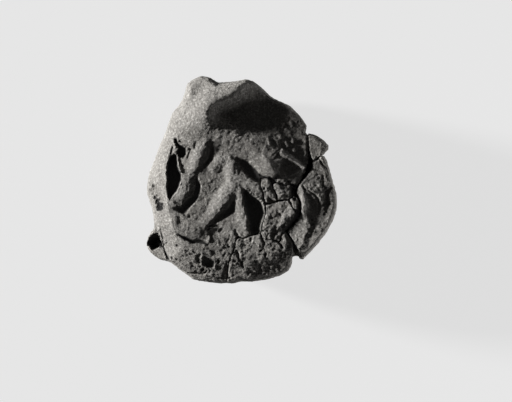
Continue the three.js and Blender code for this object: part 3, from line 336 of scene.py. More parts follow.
# Hairline cracks and edges of thin layers: path, half widths and depths along it in
# shares of a full hairline's
HAIRLINES = [
    # under the wing
    ([(0.2, 0.05), (0.25, 0.02), (0.3, 0.01), (0.34, -0.01)], [0.8, 1.2, 1.2, 1],
     [0.6, 1, 1, 1]),
    ([(0.4, -0.035), (0.43, -0.05)], [1, 1], [0.8, 0.8]),
    ([(0.49, -0.022), (0.515, -0.045), (0.55, -0.06)], [1, 0.6, 1], [0.9, 0.5, 0.8]),
    # lower edge
    ([(0.3, -0.575), (0.36, -0.595), (0.4, -0.615), (0.435, -0.66)], [0.4, 0.6, 0.8, 1],
     [0.4, 0.6, 0.7, 0.8]),
    ([(-0.69, -0.51), (-0.58, -0.558), (-0.5, -0.588), (-0.42, -0.598), (-0.33, -0.625)],
     [0.7, 1.3, 1.5, 1.5, 1], [0.5, 1, 1.2, 1.2, 0.8]),
    ([(-0.52, -0.61), (-0.48, -0.605)], [0.8, 1], [0.6, 0.8]),
    ([(-0.56, -0.9), (-0.46, -0.9), (-0.36, -0.895)], [0.5, 1, 1], [0.5, 0.8, 0.8]),
    ([(-0.33, -0.94), (-0.22, -0.95), (-0.13, -0.93)], [0.5, 0.7, 1], [0.4, 0.5, 0.8]),
    # right fragment
    ([(0.7, -0.1), (0.76, -0.14), (0.8, -0.185), (0.815, -0.25), (0.81, -0.31), (0.8, -0.36)],
     [0.6, 1, 1.2, 1.2, 1, 0.6], [0.4, 0.6, 0.6, 0.6, 0.5, 0.3]),
    ([(0.79, 0.22), (0.83, 0.185), (0.87, 0.14), (0.9, 0.08), (0.93, 0.02), (0.95, -0.03)],
     [0.6, 0.8, 0.8, 0.9, 0.8, 0.5], [0.3, 0.5, 0.5, 0.6, 0.5, 0.3]),
    ([(0.645, -0.065), (0.68, -0.1)], [0.7, 0.7], [0.5, 0.5]),
    # short cracks
    ([(-0.04, -0.69), (-0.015, -0.76)], [0.8, 0.9], [0.6, 0.7]),
    ([(0.008, -0.78), (0.012, -0.82), (0.035, -0.86)], [1, 1, 0.5], [0.8, 0.8, 0.4]),
    ([(-0.18, -0.73), (-0.15, -0.695)], [0.8, 0.7], [0.6, 0.6]),
    ([(-0.13, -0.57), (-0.148, -0.6), (-0.12, -0.64)], [0.8, 0.6, 0.8], [0.6, 0.4, 0.6]),
    ([(0.103, -0.565), (0.098, -0.6)], [0.8, 0.6], [0.6, 0.5]),
    ([(0.22, -0.66), (0.24, -0.69)], [0.6, 0.6], [0.4, 0.4]),
    ([(-0.22, -0.5), (-0.2, -0.475)], [0.8, 0.8], [0.5, 0.5]),
    ([(-0.77, -0.735), (-0.745, -0.785)], [1, 1.2], [0.7, 0.8]),
    ([(-0.35, -0.445), (-0.3, -0.44), (-0.25, -0.445)], [0.8, 1, 0.8], [0.6, 0.7, 0.5]),
    ([(0.0, -0.96), (0.06, -0.972), (0.12, -0.985)], [1.3, 0.8, 1], [0.9, 0.6, 0.8]),
    # left flank
    ([(-0.845, -0.42), (-0.825, -0.5), (-0.812, -0.6), (-0.8, -0.66), (-0.78, -0.72),
      (-0.755, -0.76), (-0.735, -0.79)],
     [0.5, 0.7, 0.5, 0.7, 0.9, 1, 1], [0.3, 0.5, 0.4, 0.6, 0.8, 0.9, 0.9]),
    ([(-0.965, -0.14), (-0.94, -0.22), (-0.92, -0.3), (-0.905, -0.37), (-0.893, -0.43),
      (-0.883, -0.49)],
     [0.6, 1, 1.2, 1, 1.1, 1], [0.4, 0.7, 0.9, 0.8, 1, 0.8]),
    ([(-0.93, 0.1), (-0.955, 0.04), (-0.97, -0.04)], [0.6, 0.9, 0.6], [0.4, 0.6, 0.4]),
]

# Single holes: across, along, and radius and depth in shares of a full hole's
HOLES = [
    (0.558, -0.19, 1, 1), (0.52, -0.232, 0.8, 0.8), (-0.332, -0.468, 0.8, 0.9),
    (0.247, -0.73, 0.8, 0.8), (0.205, -0.69, 0.7, 0.8), (0.14, -0.79, 0.6, 0.6),
    (-0.228, -0.79, 0.8, 0.8), (-0.062, -0.77, 0.8, 0.7), (-0.66, -0.632, 0.9, 0.7),
    (-0.398, -0.865, 1, 0.9), (-0.42, -0.83, 0.8, 0.6), (0.735, -0.39, 0.9, 0.6),
    (0.735, -0.43, 0.8, 0.6), (0.75, -0.5, 0.6, 0.5), (0.86, -0.25, 0.8, 0.6),
    (0.865, -0.33, 0.8, 0.6), (0.885, -0.28, 0.7, 0.5), (0.985, -0.265, 0.9, 0.8),
    (0.937, -0.385, 0.9, 0.7), (0.79, 0.2, 0.9, 0.7), (0.85, -0.06, 0.7, 0.6),
    (0.44, -0.455, 1, 0.8), (0.475, -0.46, 0.7, 0.7), (0.365, -0.47, 0.8, 0.5),
    (0.41, -0.345, 1, 0.6), (0.31, -0.38, 0.8, 0.6), (0.25, -0.08, 0.8, 0.7),
    (-0.97, -0.12, 0.9, 0.5), (-0.905, -0.315, 0.9, 0.5), (-0.53, -0.355, 0.9, 0.6),
    (-0.24, -0.2, 0.4, 0.3), (-0.43, 0.31, 0.6, 0.5), (-0.67, 0.38, 0.9, 0.8),
    # left flank and the edge below it
    (-0.905, -0.06, 1, 0.8), (-0.935, -0.1, 1, 0.7), (-0.9, -0.09, 0.7, 0.6),
    (-0.92, -0.14, 0.9, 0.7), (-0.895, -0.175, 1.1, 0.9), (-0.87, -0.155, 0.8, 0.7),
    (-0.862, -0.2, 1.3, 1), (-0.84, -0.19, 0.9, 0.8), (-0.875, -0.225, 0.9, 0.8),
    (-0.845, -0.235, 1.4, 1.1), (-0.86, -0.265, 1, 0.9), (-0.835, -0.275, 1.6, 1.2),
    (-0.815, -0.24, 1, 0.9), (-0.855, -0.29, 1, 0.9), (-0.79, -0.26, 0.7, 0.5),
    (-0.83, -0.41, 0.8, 0.6), (-0.8, -0.57, 0.6, 0.5), (-0.71, -0.75, 1, 0.7),
    (-0.69, -0.79, 1, 0.8), (-0.66, -0.76, 0.8, 0.6), (-0.77, -0.62, 0.7, 0.5),
]

# Hollows with a floor: depth and width of their border in shares of a full hollow's, and
# the edge
HOLLOWS = [
    # beside the left flank
    (1.2, 0.5, [(-0.775, 0.17), (-0.74, 0.22), (-0.69, 0.25), (-0.66, 0.23), (-0.65, 0.13),
                (-0.615, 0.06), (-0.61, 0), (-0.635, -0.06), (-0.665, -0.12), (-0.74, -0.215),
                (-0.77, -0.15), (-0.778, 0)]),
    # at its upper end
    (1, 0.5, [(-0.695, 0.39), (-0.655, 0.405), (-0.64, 0.345), (-0.6, 0.335), (-0.56, 0.31),
              (-0.555, 0.25), (-0.585, 0.205), (-0.64, 0.2), (-0.67, 0.24), (-0.66, 0.3),
              (-0.69, 0.34)]),
    # right of the middle leg
    (1, 1, [(0, -0.1), (0.06, -0.09), (0.1, -0.13), (0.16, -0.17), (0.21, -0.2), (0.24, -0.25),
            (0.262, -0.32), (0.245, -0.37), (0.225, -0.41), (0.21, -0.46), (0.21, -0.51),
            (0.15, -0.54), (0.09, -0.54), (0.075, -0.45), (0.04, -0.3), (0.01, -0.18)]),
    # three-cornered hollow right of the wing
    (0.22, 1, [(0.36, 0.1), (0.43, 0.18), (0.47, 0.205), (0.53, 0.18), (0.6, 0.135), (0.65, 0.1),
               (0.6, 0.06), (0.53, 0.03), (0.45, 0.02), (0.39, 0.05)]),
    # facet of the right fragment
    (0.06, 0.8, [(0.66, -0.1), (0.7, -0.1), (0.76, -0.14), (0.8, -0.19), (0.82, -0.24),
                 (0.81, -0.3), (0.8, -0.36), (0.74, -0.38), (0.7, -0.33), (0.7, -0.25),
                 (0.68, -0.17)]),
    # where the cracks meet
    (0.8, 0.6, [(0.51, -0.04), (0.58, -0.03), (0.6, -0.1), (0.57, -0.17), (0.51, -0.165)]),
    (0.35, 0.6, [(0.27, -0.14), (0.36, -0.2), (0.38, -0.24), (0.33, -0.245), (0.26, -0.21)]),
    # outer strip of the right fragment
    (0.3, 1, [(0.83, 0.05), (0.87, 0.06), (0.89, -0.02), (0.87, -0.09), (0.84, -0.05)]),
]

# Crests with unlike sides: path, reach to its left and to its right and heights along it
CRESTS = [
    # along the left flank
    ([(-0.68, -0.53), (-0.72, -0.42), (-0.745, -0.3), (-0.768, -0.16), (-0.778, 0),
      (-0.78, 0.14), (-0.745, 0.24), (-0.7, 0.36)],
     1.1, 0.8, [0.4, 0.6, 0.6, 0.75, 1, 0.95, 0.6, 0.3]),
    # along the right fragment
    ([(0.61, -0.67), (0.65, -0.6), (0.685, -0.5), (0.67, -0.39)], 1.6, 0.5,
     [0.2, 0.3, 0.35, 0.2]),
    ([(0.8, -0.185), (0.75, -0.13), (0.68, -0.105)], 0.5, 1.2, [0.3, 0.3, 0.2]),
    # beside the main crack, and along the wing
    ([(0.67, 0.08), (0.672, 0.25), (0.665, 0.4)], 0.3, 0.2, [0.15, 0.1, 0.05]),
    ([(0.35, 0.05), (0.3, 0.16), (0.22, 0.24)], 1.6, 0.5, [0.35, 0.35, 0.15]),
    # at the lower edge
    ([(-0.12, -0.92), (-0.11, -0.84), (-0.13, -0.77)], 0.2, 0.9, [0.15, 0.2, 0.15]),
    ([(0.1, -0.8), (0.2, -0.755), (0.3, -0.735), (0.4, -0.705), (0.52, -0.695)], 1, 1,
     [0.1, 0.25, 0.3, 0.3, 0.2]),
]

# The mouth of the cord's channel at the lower left, seen from above
MOUTH_SHARES = [
    (-0.91, -0.505), (-0.86, -0.5), (-0.84, -0.54), (-0.822, -0.6), (-0.812, -0.65),
    (-0.86, -0.655), (-0.9, -0.68), (-0.935, -0.68), (-0.96, -0.65), (-0.99, -0.645),
    (-1.1, -0.66), (-1.1, -0.45), (-0.95, -0.46),
]

# The thumb's dent, open to the right, and between which places across it runs out
DENT_SHARES = [
    (-0.38, 0.66), (-0.31, 0.75), (-0.24, 0.79), (-0.13, 0.84), (-0.02, 0.88), (0, 0.94),
    (0.02, 1.2), (1.2, 1.2), (1.2, 0.32), (0.7, 0.32), (0.55, 0.33), (0.4, 0.35), (0.25, 0.37),
    (0.1, 0.37), (0.02, 0.37), (-0.05, 0.4), (-0.16, 0.44), (-0.28, 0.48), (-0.37, 0.55),
]
DENT_RUN_SHARES = (0.05, 0.65)

# Where the pressed skin has flaked off the lower part of the face
FLAKED_SHARES = [
    (-0.73, -0.47), (-0.68, -0.52), (-0.6, -0.55), (-0.5, -0.58), (-0.4, -0.61),
    (-0.36, -0.63), (-0.32, -0.6), (-0.3, -0.52), (-0.31, -0.46), (-0.2, -0.47),
    (-0.1, -0.5), (0, -0.55), (0.1, -0.6), (0.3, -0.7), (0.52, -0.73), (1.2, -0.8),
    (1.2, -1.2), (-1.2, -1.2), (-1.2, -0.4),
]

# Where the clay is darkened, by real stains and by painted shade where the low light grazes or
# misses the face: how much, width of the border as a share of a full one's, and the edge
STAINS_AND_SHADE = [
    # left flank
    (0.8, 0.4, [(-0.87, 0.07), (-0.8, 0.08), (-0.775, -0.02), (-0.79, -0.08), (-0.85, -0.04)]),
    (0.55, 0.5, [(-0.96, -0.02), (-0.9, -0.02), (-0.8, -0.14), (-0.79, -0.3), (-0.87, -0.32),
                 (-0.93, -0.2), (-0.97, -0.12)]),
    (0.9, 0.3, [(-0.99, -0.12), (-0.955, -0.16), (-0.915, -0.3), (-0.885, -0.43), (-0.88, -0.52),
                (-0.95, -0.52), (-0.95, -0.3), (-1.01, -0.1)]),
    # lip beside the mouth of the cord's channel
    (0.6, 0.5, [(-0.96, -0.66), (-0.9, -0.67), (-0.81, -0.64), (-0.785, -0.72), (-0.75, -0.8),
                (-0.9, -0.8), (-1, -0.7)]),
    # painted shade in the thumb's dent
    (0.9, 1.5, [(-0.33, 0.6), (-0.2, 0.75), (0, 0.85), (0.1, 0.97), (0.35, 0.8), (0.6, 0.65),
                (0.62, 0.45), (0.3, 0.41), (0, 0.41), (-0.25, 0.49)]),
    # painted shade over the impression's flat
    (0.52, 3, [(-0.76, 0.3), (-0.6, 0.42), (-0.3, 0.52), (0.1, 0.46), (0.4, 0.62), (0.66, 0.6),
               (0.69, 0.1), (0.58, -0.1), (0.5, -0.2), (0.25, -0.25), (0.2, -0.5), (-0.05, -0.52),
               (-0.3, -0.48), (-0.33, -0.62), (-0.5, -0.57), (-0.7, -0.49), (-0.74, -0.3)]),
    # shoulder, and painted shade on the upper right slope that falls away from the light
    (0.6, 0.8, [(-0.7, 0.5), (-0.5, 0.55), (-0.3, 0.45), (-0.35, 0.36), (-0.5, 0.36),
                (-0.7, 0.42)]),
    (0.8, 0.6, [(0.1, 0.4), (0.2, 0.3), (0.3, 0.23), (0.45, 0.2), (0.6, 0.2), (0.72, 0.1),
                (0.8, 0.5), (0.6, 0.7), (0.36, 0.6), (0.28, 0.46)]),
    # lower edge
    (0.6, 1, [(-0.5, -0.58), (-0.3, -0.61), (-0.18, -0.62), (-0.18, -0.7), (-0.45, -0.72)]),
    (0.6, 1.5, [(-0.05, -0.85), (0.1, -0.8), (0.2, -0.76), (0.4, -0.71), (0.56, -0.7),
                (0.56, -1.1), (-0.05, -1.1)]),
    # right fragment and cap
    (0.4, 1, [(0.68, -0.1), (0.8, -0.17), (0.82, -0.25), (0.8, -0.36), (0.72, -0.37), (0.7, -0.2)]),
    (0.8, 0.3, [(0.67, 0.48), (0.8, 0.46), (0.95, 0.33), (0.88, 0.24), (0.71, 0.2)]),
    (0.6, 1, [(0.76, 0.3), (0.84, 0.24), (0.9, 0.15), (0.9, 0), (0.84, -0.05), (0.78, 0.05)]),
    (0.5, 1, [(0.7, -0.4), (0.8, -0.36), (0.78, -0.55), (0.66, -0.68), (0.7, -0.5)]),
]

# Where the surface is broken and crumbly instead of smoothed by fingers: how much, and
# the edge
CRUMBLY = [
    # lower edge
    (1, [(-0.6, -0.57), (-0.4, -0.62), (-0.3, -0.5), (-0.1, -0.5), (0.1, -0.58), (0.2, -0.53),
         (0.3, -0.58), (0.45, -0.5), (0.56, -0.62), (0.56, -1.1), (-0.6, -1.1), (-0.8, -0.8)]),
    # upper right slope
    (1, [(0.1, 0.37), (0.2, 0.29), (0.3, 0.2), (0.45, 0.22), (0.55, 0.24), (0.56, 0.34),
         (0.55, 0.5), (0.47, 0.58), (0.36, 0.56), (0.28, 0.46)]),
    # where the cracks meet
    (0.9, [(0.25, -0.22), (0.38, -0.2), (0.5, -0.16), (0.6, -0.17), (0.6, -0.34), (0.47, -0.5),
           (0.4, -0.6), (0.2, -0.6), (0.24, -0.38)]),
    (0.5, [(0.2, 0.02), (0.38, 0), (0.56, -0.05), (0.55, -0.16), (0.36, -0.22), (0.22, -0.2)]),
    # right fragment
    (0.6, [(0.8, 0.3), (0.95, 0.3), (1.05, -0.2), (0.98, -0.4), (0.84, -0.36), (0.82, -0.1)]),
    (0.5, [(0.6, -0.55), (0.75, -0.4), (0.98, -0.4), (0.7, -0.8), (0.55, -0.8)]),
    # upper end of the hollow beside the left flank
    (0.6, [(-0.72, 0.42), (-0.55, 0.38), (-0.55, 0.2), (-0.7, 0.2)]),
    # thumb's dent
    (0.5, [(-0.42, 0.66), (-0.3, 0.72), (-0.1, 0.6), (0.2, 0.55), (0.4, 0.62), (0.35, 0.37),
           (0, 0.37), (-0.3, 0.46)]),
    # left flank
    (0.3, [(-0.98, 0), (-0.8, 0), (-0.76, -0.35), (-0.7, -0.5), (-0.5, -0.62), (-0.7, -0.85),
           (-0.85, -0.6), (-0.95, -0.3)]),
]


class BullaSizes(bpy.types.PropertyGroup):
    """Sizes of the lump's relief and of the clay's grain"""

    half_width: bpy.props.FloatProperty(
        name="Half width", description="Half the outline's width", default=20.2 * MM, unit="LENGTH")
    half_length: bpy.props.FloatProperty(
        name="Half length", description="Half the outline's length",
        default=21.8 * MM, unit="LENGTH")
    field_level: bpy.props.FloatProperty(
        name="Field level", description="Height of the flat that the seal pressed",
        default=20 * MM, unit="LENGTH")
    face_fall: bpy.props.FloatProperty(
        name="Face fall", description="What a full share of the face's table stands for",
        default=10 * MM, unit="LENGTH")
    rim_drop: bpy.props.FloatProperty(
        name="Rim drop", description="The flat down to the lump's widest line on the left",
        default=7.5 * MM, unit="LENGTH")
    rim_drop_right: bpy.props.FloatProperty(
        name="Rim drop on the right", description="The flat down to the widest line on the right",
        default=6 * MM, unit="LENGTH")
    edge_round: bpy.props.FloatProperty(
        name="Edge round", description="Width of the face's rounded border on the left",
        default=1.6 * MM, unit="LENGTH")
    edge_round_right: bpy.props.FloatProperty(
        name="Edge round on the right",
        description="Width of the face's rounded border on the right",
        default=0.8 * MM, unit="LENGTH")
    hill_reach: bpy.props.FloatProperty(
        name="Hill reach", description="How far each place of the table shapes the clay",
        default=1.9 * MM, unit="LENGTH")
    ridge_width: bpy.props.FloatProperty(
        name="Ridge width", description="Half the width of a full ridge",
        default=2 * MM, unit="LENGTH")
    ridge_height: bpy.props.FloatProperty(
        name="Ridge height", description="Height of a full ridge", default=1 * MM, unit="LENGTH")
    pit_width: bpy.props.FloatProperty(
        name="Pit width", description="Half the width of a full pit",
        default=1.2 * MM, unit="LENGTH")
    pit_depth: bpy.props.FloatProperty(
        name="Pit depth", description="Depth of a full pit", default=1.1 * MM, unit="LENGTH")
    dent_depth: bpy.props.FloatProperty(
        name="Dent depth", description="Depth of the thumb's dent", default=2 * MM, unit="LENGTH")
    dent_slope: bpy.props.FloatProperty(
        name="Dent slope", description="Width of the dent's soft border",
        default=4 * MM, unit="LENGTH")
    hollow_depth: bpy.props.FloatProperty(
        name="Hollow depth", description="Depth of a full hollow", default=1.5 * MM, unit="LENGTH")
    hollow_slope: bpy.props.FloatProperty(
        name="Hollow slope", description="Width of a hollow's border",
        default=0.9 * MM, unit="LENGTH")
    skin_step: bpy.props.FloatProperty(
        name="Skin step", description="Thickness of the skin that flaked off",
        default=0.25 * MM, unit="LENGTH")
    crest_reach: bpy.props.FloatProperty(
        name="Crest reach", description="How far a full crest's side slopes",
        default=2.4 * MM, unit="LENGTH")
    mouth_drop: bpy.props.FloatProperty(
        name="Mouth drop", description="Depth of the cord's mouth under the clay around it",
        default=8 * MM, unit="LENGTH")
    mouth_run: bpy.props.FloatProperty(
        name="Mouth run", description="How far inwards the cord's mouth reaches its depth",
        default=2.4 * MM, unit="LENGTH")
    mouth_slope: bpy.props.FloatProperty(
        name="Mouth slope", description="Width of the border of the cord's mouth",
        default=0.4 * MM, unit="LENGTH")
    warp: bpy.props.FloatProperty(
        name="Warp", description="How far the relief's edges wander",
        default=0.3 * MM, unit="LENGTH")
    blend: bpy.props.FloatProperty(
        name="Blend", description="Softness where strokes meet", default=0.15 * MM, unit="LENGTH")
    hairline_width: bpy.props.FloatProperty(
        name="Hairline width", description="Half the width of a full hairline crack",
        default=0.32 * MM, unit="LENGTH")
    hairline_depth: bpy.props.FloatProperty(
        name="Hairline depth", description="Depth of a full hairline crack",
        default=0.9 * MM, unit="LENGTH")
    hole_radius: bpy.props.FloatProperty(
        name="Hole radius", description="Radius of a full hole", default=0.42 * MM, unit="LENGTH")
    hole_depth: bpy.props.FloatProperty(
        name="Hole depth", description="Depth of a full hole", default=1.1 * MM, unit="LENGTH")
    crack_swell: bpy.props.FloatProperty(
        name="Crack swell", description="How far each wall of a crack moves into it",
        default=0.15 * MM, unit="LENGTH")
    wall_break: bpy.props.FloatProperty(
        name="Wall break", description="Unevenness of a broken wall",
        default=0.12 * MM, unit="LENGTH")
    lump_grain: bpy.props.FloatProperty(
        name="Lump grain", description="Height of the crumbs in broken clay",
        default=0.33 * MM, unit="LENGTH")
    skin_grain: bpy.props.FloatProperty(
        name="Skin grain", description="Height of the grain in smoothed clay",
        default=0.07 * MM, unit="LENGTH")


class BullaFinish(bpy.types.PropertyGroup):
    """Colours of the clay"""

    skin: bpy.props.FloatVectorProperty(
        name="Skin", description="Colour of the smoothed clay", subtype="COLOR",
        size=3, min=0, max=1, default=(0.3, 0.287, 0.266))
    core: bpy.props.FloatVectorProperty(
        name="Core", description="Colour of the broken clay", subtype="COLOR",
        size=3, min=0, max=1, default=(0.272, 0.258, 0.237))
    # Pale grains, and the painted highlight on the ridges
    pale_tone: bpy.props.FloatVectorProperty(
        name="Grit", description="Colour of the pale grains", subtype="COLOR",
        size=3, min=0, max=1, default=(0.46, 0.445, 0.42))
    # Dark colour of soil in grains and stains, also used for the painted shade in pits, cracks and
    # shaded areas
    soil_and_shade: bpy.props.FloatVectorProperty(
        name="Soil", description="Colour of the earth left in pits and cracks", subtype="COLOR",
        size=3, min=0, max=1, default=(0.105, 0.097, 0.086))


class BullaStage(bpy.types.PropertyGroup):
    """Light, floor and camera"""

    key_power: bpy.props.FloatProperty(
        name="Key light", description="Strength of the light from the left", default=11)
    key_height: bpy.props.FloatProperty(
        name="Key height", description="How far the key light stands over the floor",
        default=np.radians(14), subtype="ANGLE")
    key_turn: bpy.props.FloatProperty(
        name="Key turn", description="How far the key light stands towards the top of the view",
        default=np.radians(14), subtype="ANGLE")
    key_spread: bpy.props.FloatProperty(
        name="Key spread", description="Apparent size of the key light",
        default=np.radians(7), subtype="ANGLE")
    card_power: bpy.props.FloatProperty(
        name="Card light", description="Strength of the light that a low card on the right returns",
        default=0.011)
    card_away: bpy.props.FloatProperty(
        name="Card distance", description="From the lump's middle to the card",
        default=0.09, unit="LENGTH")
    fill_power: bpy.props.FloatProperty(
        name="Fill light", description="Strength of the even light from all sides", default=0.025)
    paper: bpy.props.FloatVectorProperty(
        name="Paper", description="Colour of the floor and the surroundings", subtype="COLOR",
        size=3, min=0, max=1, default=(0.80, 0.80, 0.80))
    camera_height: bpy.props.FloatProperty(
        name="Camera height", description="Camera over the impression's flat",
        default=1.5, unit="LENGTH")


def scaled(shares, sizes):
    """Places given in shares of the lump's halves, in metres"""
    return np.array([[x * sizes.half_width, y * sizes.half_length] for x, y in shares])


def smooth_step(low, high, value):
    """0 at low, 1 at high, and a soft slope between them"""
    t = np.clip((value - low) / (high - low), 0, 1)
    return t * t * (3 - 2 * t)


def soft_larger(a, b, blend):
    """The larger of two heights, with a soft seam where they are alike"""
    mix = np.clip(0.5 + 0.5 * (a - b) / blend, 0, 1)
    return b + (a - b) * mix + blend * mix * (1 - mix)


def nearest(path, x, y):
    """Distance to a path, how far along the path its nearest point lies, and whether a
    place lies to the path's left"""
    distance = np.full(x.shape, np.inf)
    along = np.zeros(x.shape)
    left = np.zeros(x.shape, bool)
    for i, (a, b) in enumerate(zip(path[:-1], path[1:])):
        line = b - a
        t = np.clip(((x - a[0]) * line[0] + (y - a[1]) * line[1]) / (line @ line), 0, 1)
        reach = np.hypot(x - a[0] - t * line[0], y - a[1] - t * line[1])
        closer = reach < distance
        distance[closer] = reach[closer]
        along[closer] = (i + t[closer]) / (len(path) - 1)
        left[closer] = (line[0] * (y - a[1]) - line[1] * (x - a[0]))[closer] > 0
    return distance, along, left


def spread(values, along):
    """Values that stand evenly along a path, read at shares of its length"""
    return np.interp(along, np.linspace(0, 1, len(values)), values)


def depth_inside(edge, x, y):
    """How far inside an outline each place lies, and nothing outside it"""
    inside = np.zeros(x.shape, bool)
    for a, b in zip(edge, np.roll(edge, -1, axis=0)):
        if a[1] != b[1]:
            crosses = (a[1] > y) != (b[1] > y)
            inside ^= crosses & (x < a[0] + (b[0] - a[0]) * (y - a[1]) / (b[1] - a[1]))
    distance = nearest(np.vstack([edge, edge[:1]]), x, y)[0]
    return np.where(inside, distance, 0)


def strokes(table, width, height, sizes, x, y):
    """The height that a table of strokes adds, each round across its width"""
    total = np.zeros(x.shape)
    for path, widths, heights, fullness in table:
        distance, along, _ = nearest(scaled(path, sizes), x, y)
        across = np.clip(distance / (width * spread(widths, along)), 0, 1)
        stroke = height * spread(heights, along) * (1 - across ** 2) ** fullness
        total = soft_larger(total, stroke, sizes.blend)
    return total


def crests(sizes, x, y):
    """The height that the crests add, straight down from a sharp line to each side"""
    total = np.zeros(x.shape)
    for path, left_reach, right_reach, heights in CRESTS:
        distance, along, left = nearest(scaled(path, sizes), x, y)
        reach = sizes.crest_reach * np.where(left, left_reach, right_reach)
        fall = np.clip(1 - distance / reach, 0, 1) ** CREST_FALL
        total += sizes.ridge_height * spread(heights, along) * fall
    return total


def hills(sizes, x, y):
    """The broad form of the face, blended from its table of places"""
    total = np.zeros(x.shape)
    weights = np.zeros(x.shape)
    for place_x, place_y, height in FACE_SHARES:
        away = (x - place_x * sizes.half_width) ** 2 + (y - place_y * sizes.half_length) ** 2
        away /= sizes.hill_reach ** 2
        weight = np.exp(-away / 2) + FAR_WEIGHT / (1 + away) ** 2
        total += weight * height
        weights += weight
    return sizes.field_level + sizes.face_fall * total / weights


def from_left_to_right(left, right, sizes, x):
    """A length that changes from the lump's left side to its right"""
    return left + (right - left) * smooth_step(-sizes.half_width, sizes.half_width, x)


def face_level(sizes, x, y):
    """Height of the sealed face over each place inside the outline, and how far over and
    under the clay around it each place lies"""
    height = hills(sizes, x, y)
    from_rim = depth_inside(scaled(OUTLINE_SHARES, sizes), x, y)
    edge_round = from_left_to_right(sizes.edge_round, sizes.edge_round_right, sizes, x)
    rim = np.clip(from_rim / edge_round, 0, 1)
    widest = sizes.field_level - from_left_to_right(sizes.rim_drop, sizes.rim_drop_right, sizes, x)

    flat = np.stack([x, y, np.zeros(x.shape)], axis=1)
    warp = sizes.warp * (CALM_WARP + (1 - CALM_WARP) * crumbliness(sizes, x, y))
    x = x + warp * noise(flat, *WARP_ACROSS)
    y = y + warp * noise(flat, *WARP_ALONG)
    height += crests(sizes, x, y)
    dent = depth_inside(scaled(DENT_SHARES, sizes), x, y)
    start, end = (share * sizes.half_width for share in DENT_RUN_SHARES)
    height -= sizes.dent_depth * smooth_step(0, sizes.dent_slope, dent) * smooth_step(end, start, x)
    flaked = depth_inside(scaled(FLAKED_SHARES, sizes), x, y)
    height -= sizes.skin_step * smooth_step(0, sizes.skin_step, flaked)

    sunk = np.zeros(x.shape)
    for depth, slope, edge in HOLLOWS:
        inside = depth_inside(scaled(edge, sizes), x, y)
        sunk += sizes.hollow_depth * depth * smooth_step(0, sizes.hollow_slope * slope, inside)
    sunk += strokes(PITS, sizes.pit_width, sizes.pit_depth, sizes, x, y)
    hairlines = [(*hairline, HAIRLINE_FULLNESS) for hairline in HAIRLINES]
    sunk += strokes(hairlines, sizes.hairline_width, sizes.hairline_depth, sizes, x, y)
    for place_x, place_y, radius, depth in HOLES:
        distance = np.hypot(x - place_x * sizes.half_width, y - place_y * sizes.half_length)
        across = np.clip(distance / (radius * sizes.hole_radius), 0, 1)
        sunk = np.maximum(sunk, sizes.hole_depth * depth * (1 - across ** 2) ** HOLE_FULLNESS)
    raised = strokes(RIDGES, sizes.ridge_width, sizes.ridge_height, sizes, x, y)
    height += raised - sunk

    height = widest + (height - widest) * np.sqrt(1 - (1 - rim) ** 2)
    mouth = smooth_step(0, sizes.mouth_slope, depth_inside(scaled(MOUTH_SHARES, sizes), x, y))
    mouth *= sizes.mouth_drop * np.clip(from_rim / sizes.mouth_run, 0, 1)
    return height - mouth, raised, sunk + mouth


def hashed(cells, seed):
    """A random value between 0 and 1 for each cell of a grid, the same on each run"""
    mixed = np.full(cells.shape[:-1], seed * HASH_START & WORD, np.uint64)
    for axis, factor in enumerate(HASH_FACTORS):
        mixed ^= (cells[..., axis].astype(np.int64) * factor).astype(np.uint64)
        mixed ^= mixed >> np.uint64(HASH_SHIFT)
        mixed = (mixed * np.uint64(HASH_SPIN)) & np.uint64(WORD)
    return (mixed & np.uint64(LOW_BITS)).astype(float) / LOW_BITS


def noise(places, size, seed, octaves=1):
    """Smooth random values between about -1 and 1, with bumps of a given size"""
    total = np.zeros(len(places))
    for octave in range(octaves):
        scaled_places = places / (size / 2 ** octave)
        cells = np.floor(scaled_places)
        t = scaled_places - cells
        t = t ** 3 * (t * (t * 6 - 15) + 10)
        for corner in itertools.product((0, 1), repeat=3):
            weight = np.prod(np.where(corner, t, 1 - t), axis=1)
            total += weight * (2 * hashed(cells + corner, seed + octave) - 1) / 2 ** octave
    return total


def specks(places, size, seed, share, radius):
    """Round bumps of height 1 scattered through space, in a share of the cells of a grid"""
    cells = np.floor(places / size)
    most = np.zeros(len(places))
    for step in itertools.product((-1, 0, 1), repeat=3):
        cell = cells + step
        centre = np.stack([hashed(cell, seed + axis) for axis in range(3)], axis=1)
        away = np.linalg.norm(places / size - cell - centre, axis=1) * size
        kind = hashed(cell, seed + 3)
        reach = radius * (SMALLEST_SPECK + (1 - SMALLEST_SPECK) * kind / share)
        bump = np.clip(1 - (away / reach) ** 2, 0, 1)
        most = np.maximum(most, np.where(kind < share, bump, 0))
    return most


def remeshed(node, voxel):
    """A copy of a CAD node as one even, fine mesh, and a tree to measure the node with"""
    shape = bmesh.new()
    shape.from_mesh(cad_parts[node].data)
    bmesh.ops.remove_doubles(shape, verts=shape.verts, dist=SAME_PLACE)
    tree = BVHTree.FromBMesh(shape)
    coarse = bpy.data.meshes.new(node + "_coarse")
    shape.to_mesh(coarse)
    shape.free()
    piece = bpy.data.objects.new(node + "_clay", coarse)
    bpy.context.scene.collection.objects.link(piece)
    even = piece.modifiers.new("even", "REMESH")
    even.mode = "VOXEL"
    even.voxel_size = voxel
    fine = bpy.data.meshes.new_from_object(
        piece.evaluated_get(bpy.context.evaluated_depsgraph_get()))
    piece.modifiers.clear()
    piece.data = fine
    fine.name = piece.name
    bpy.data.meshes.remove(coarse)
    return piece, tree


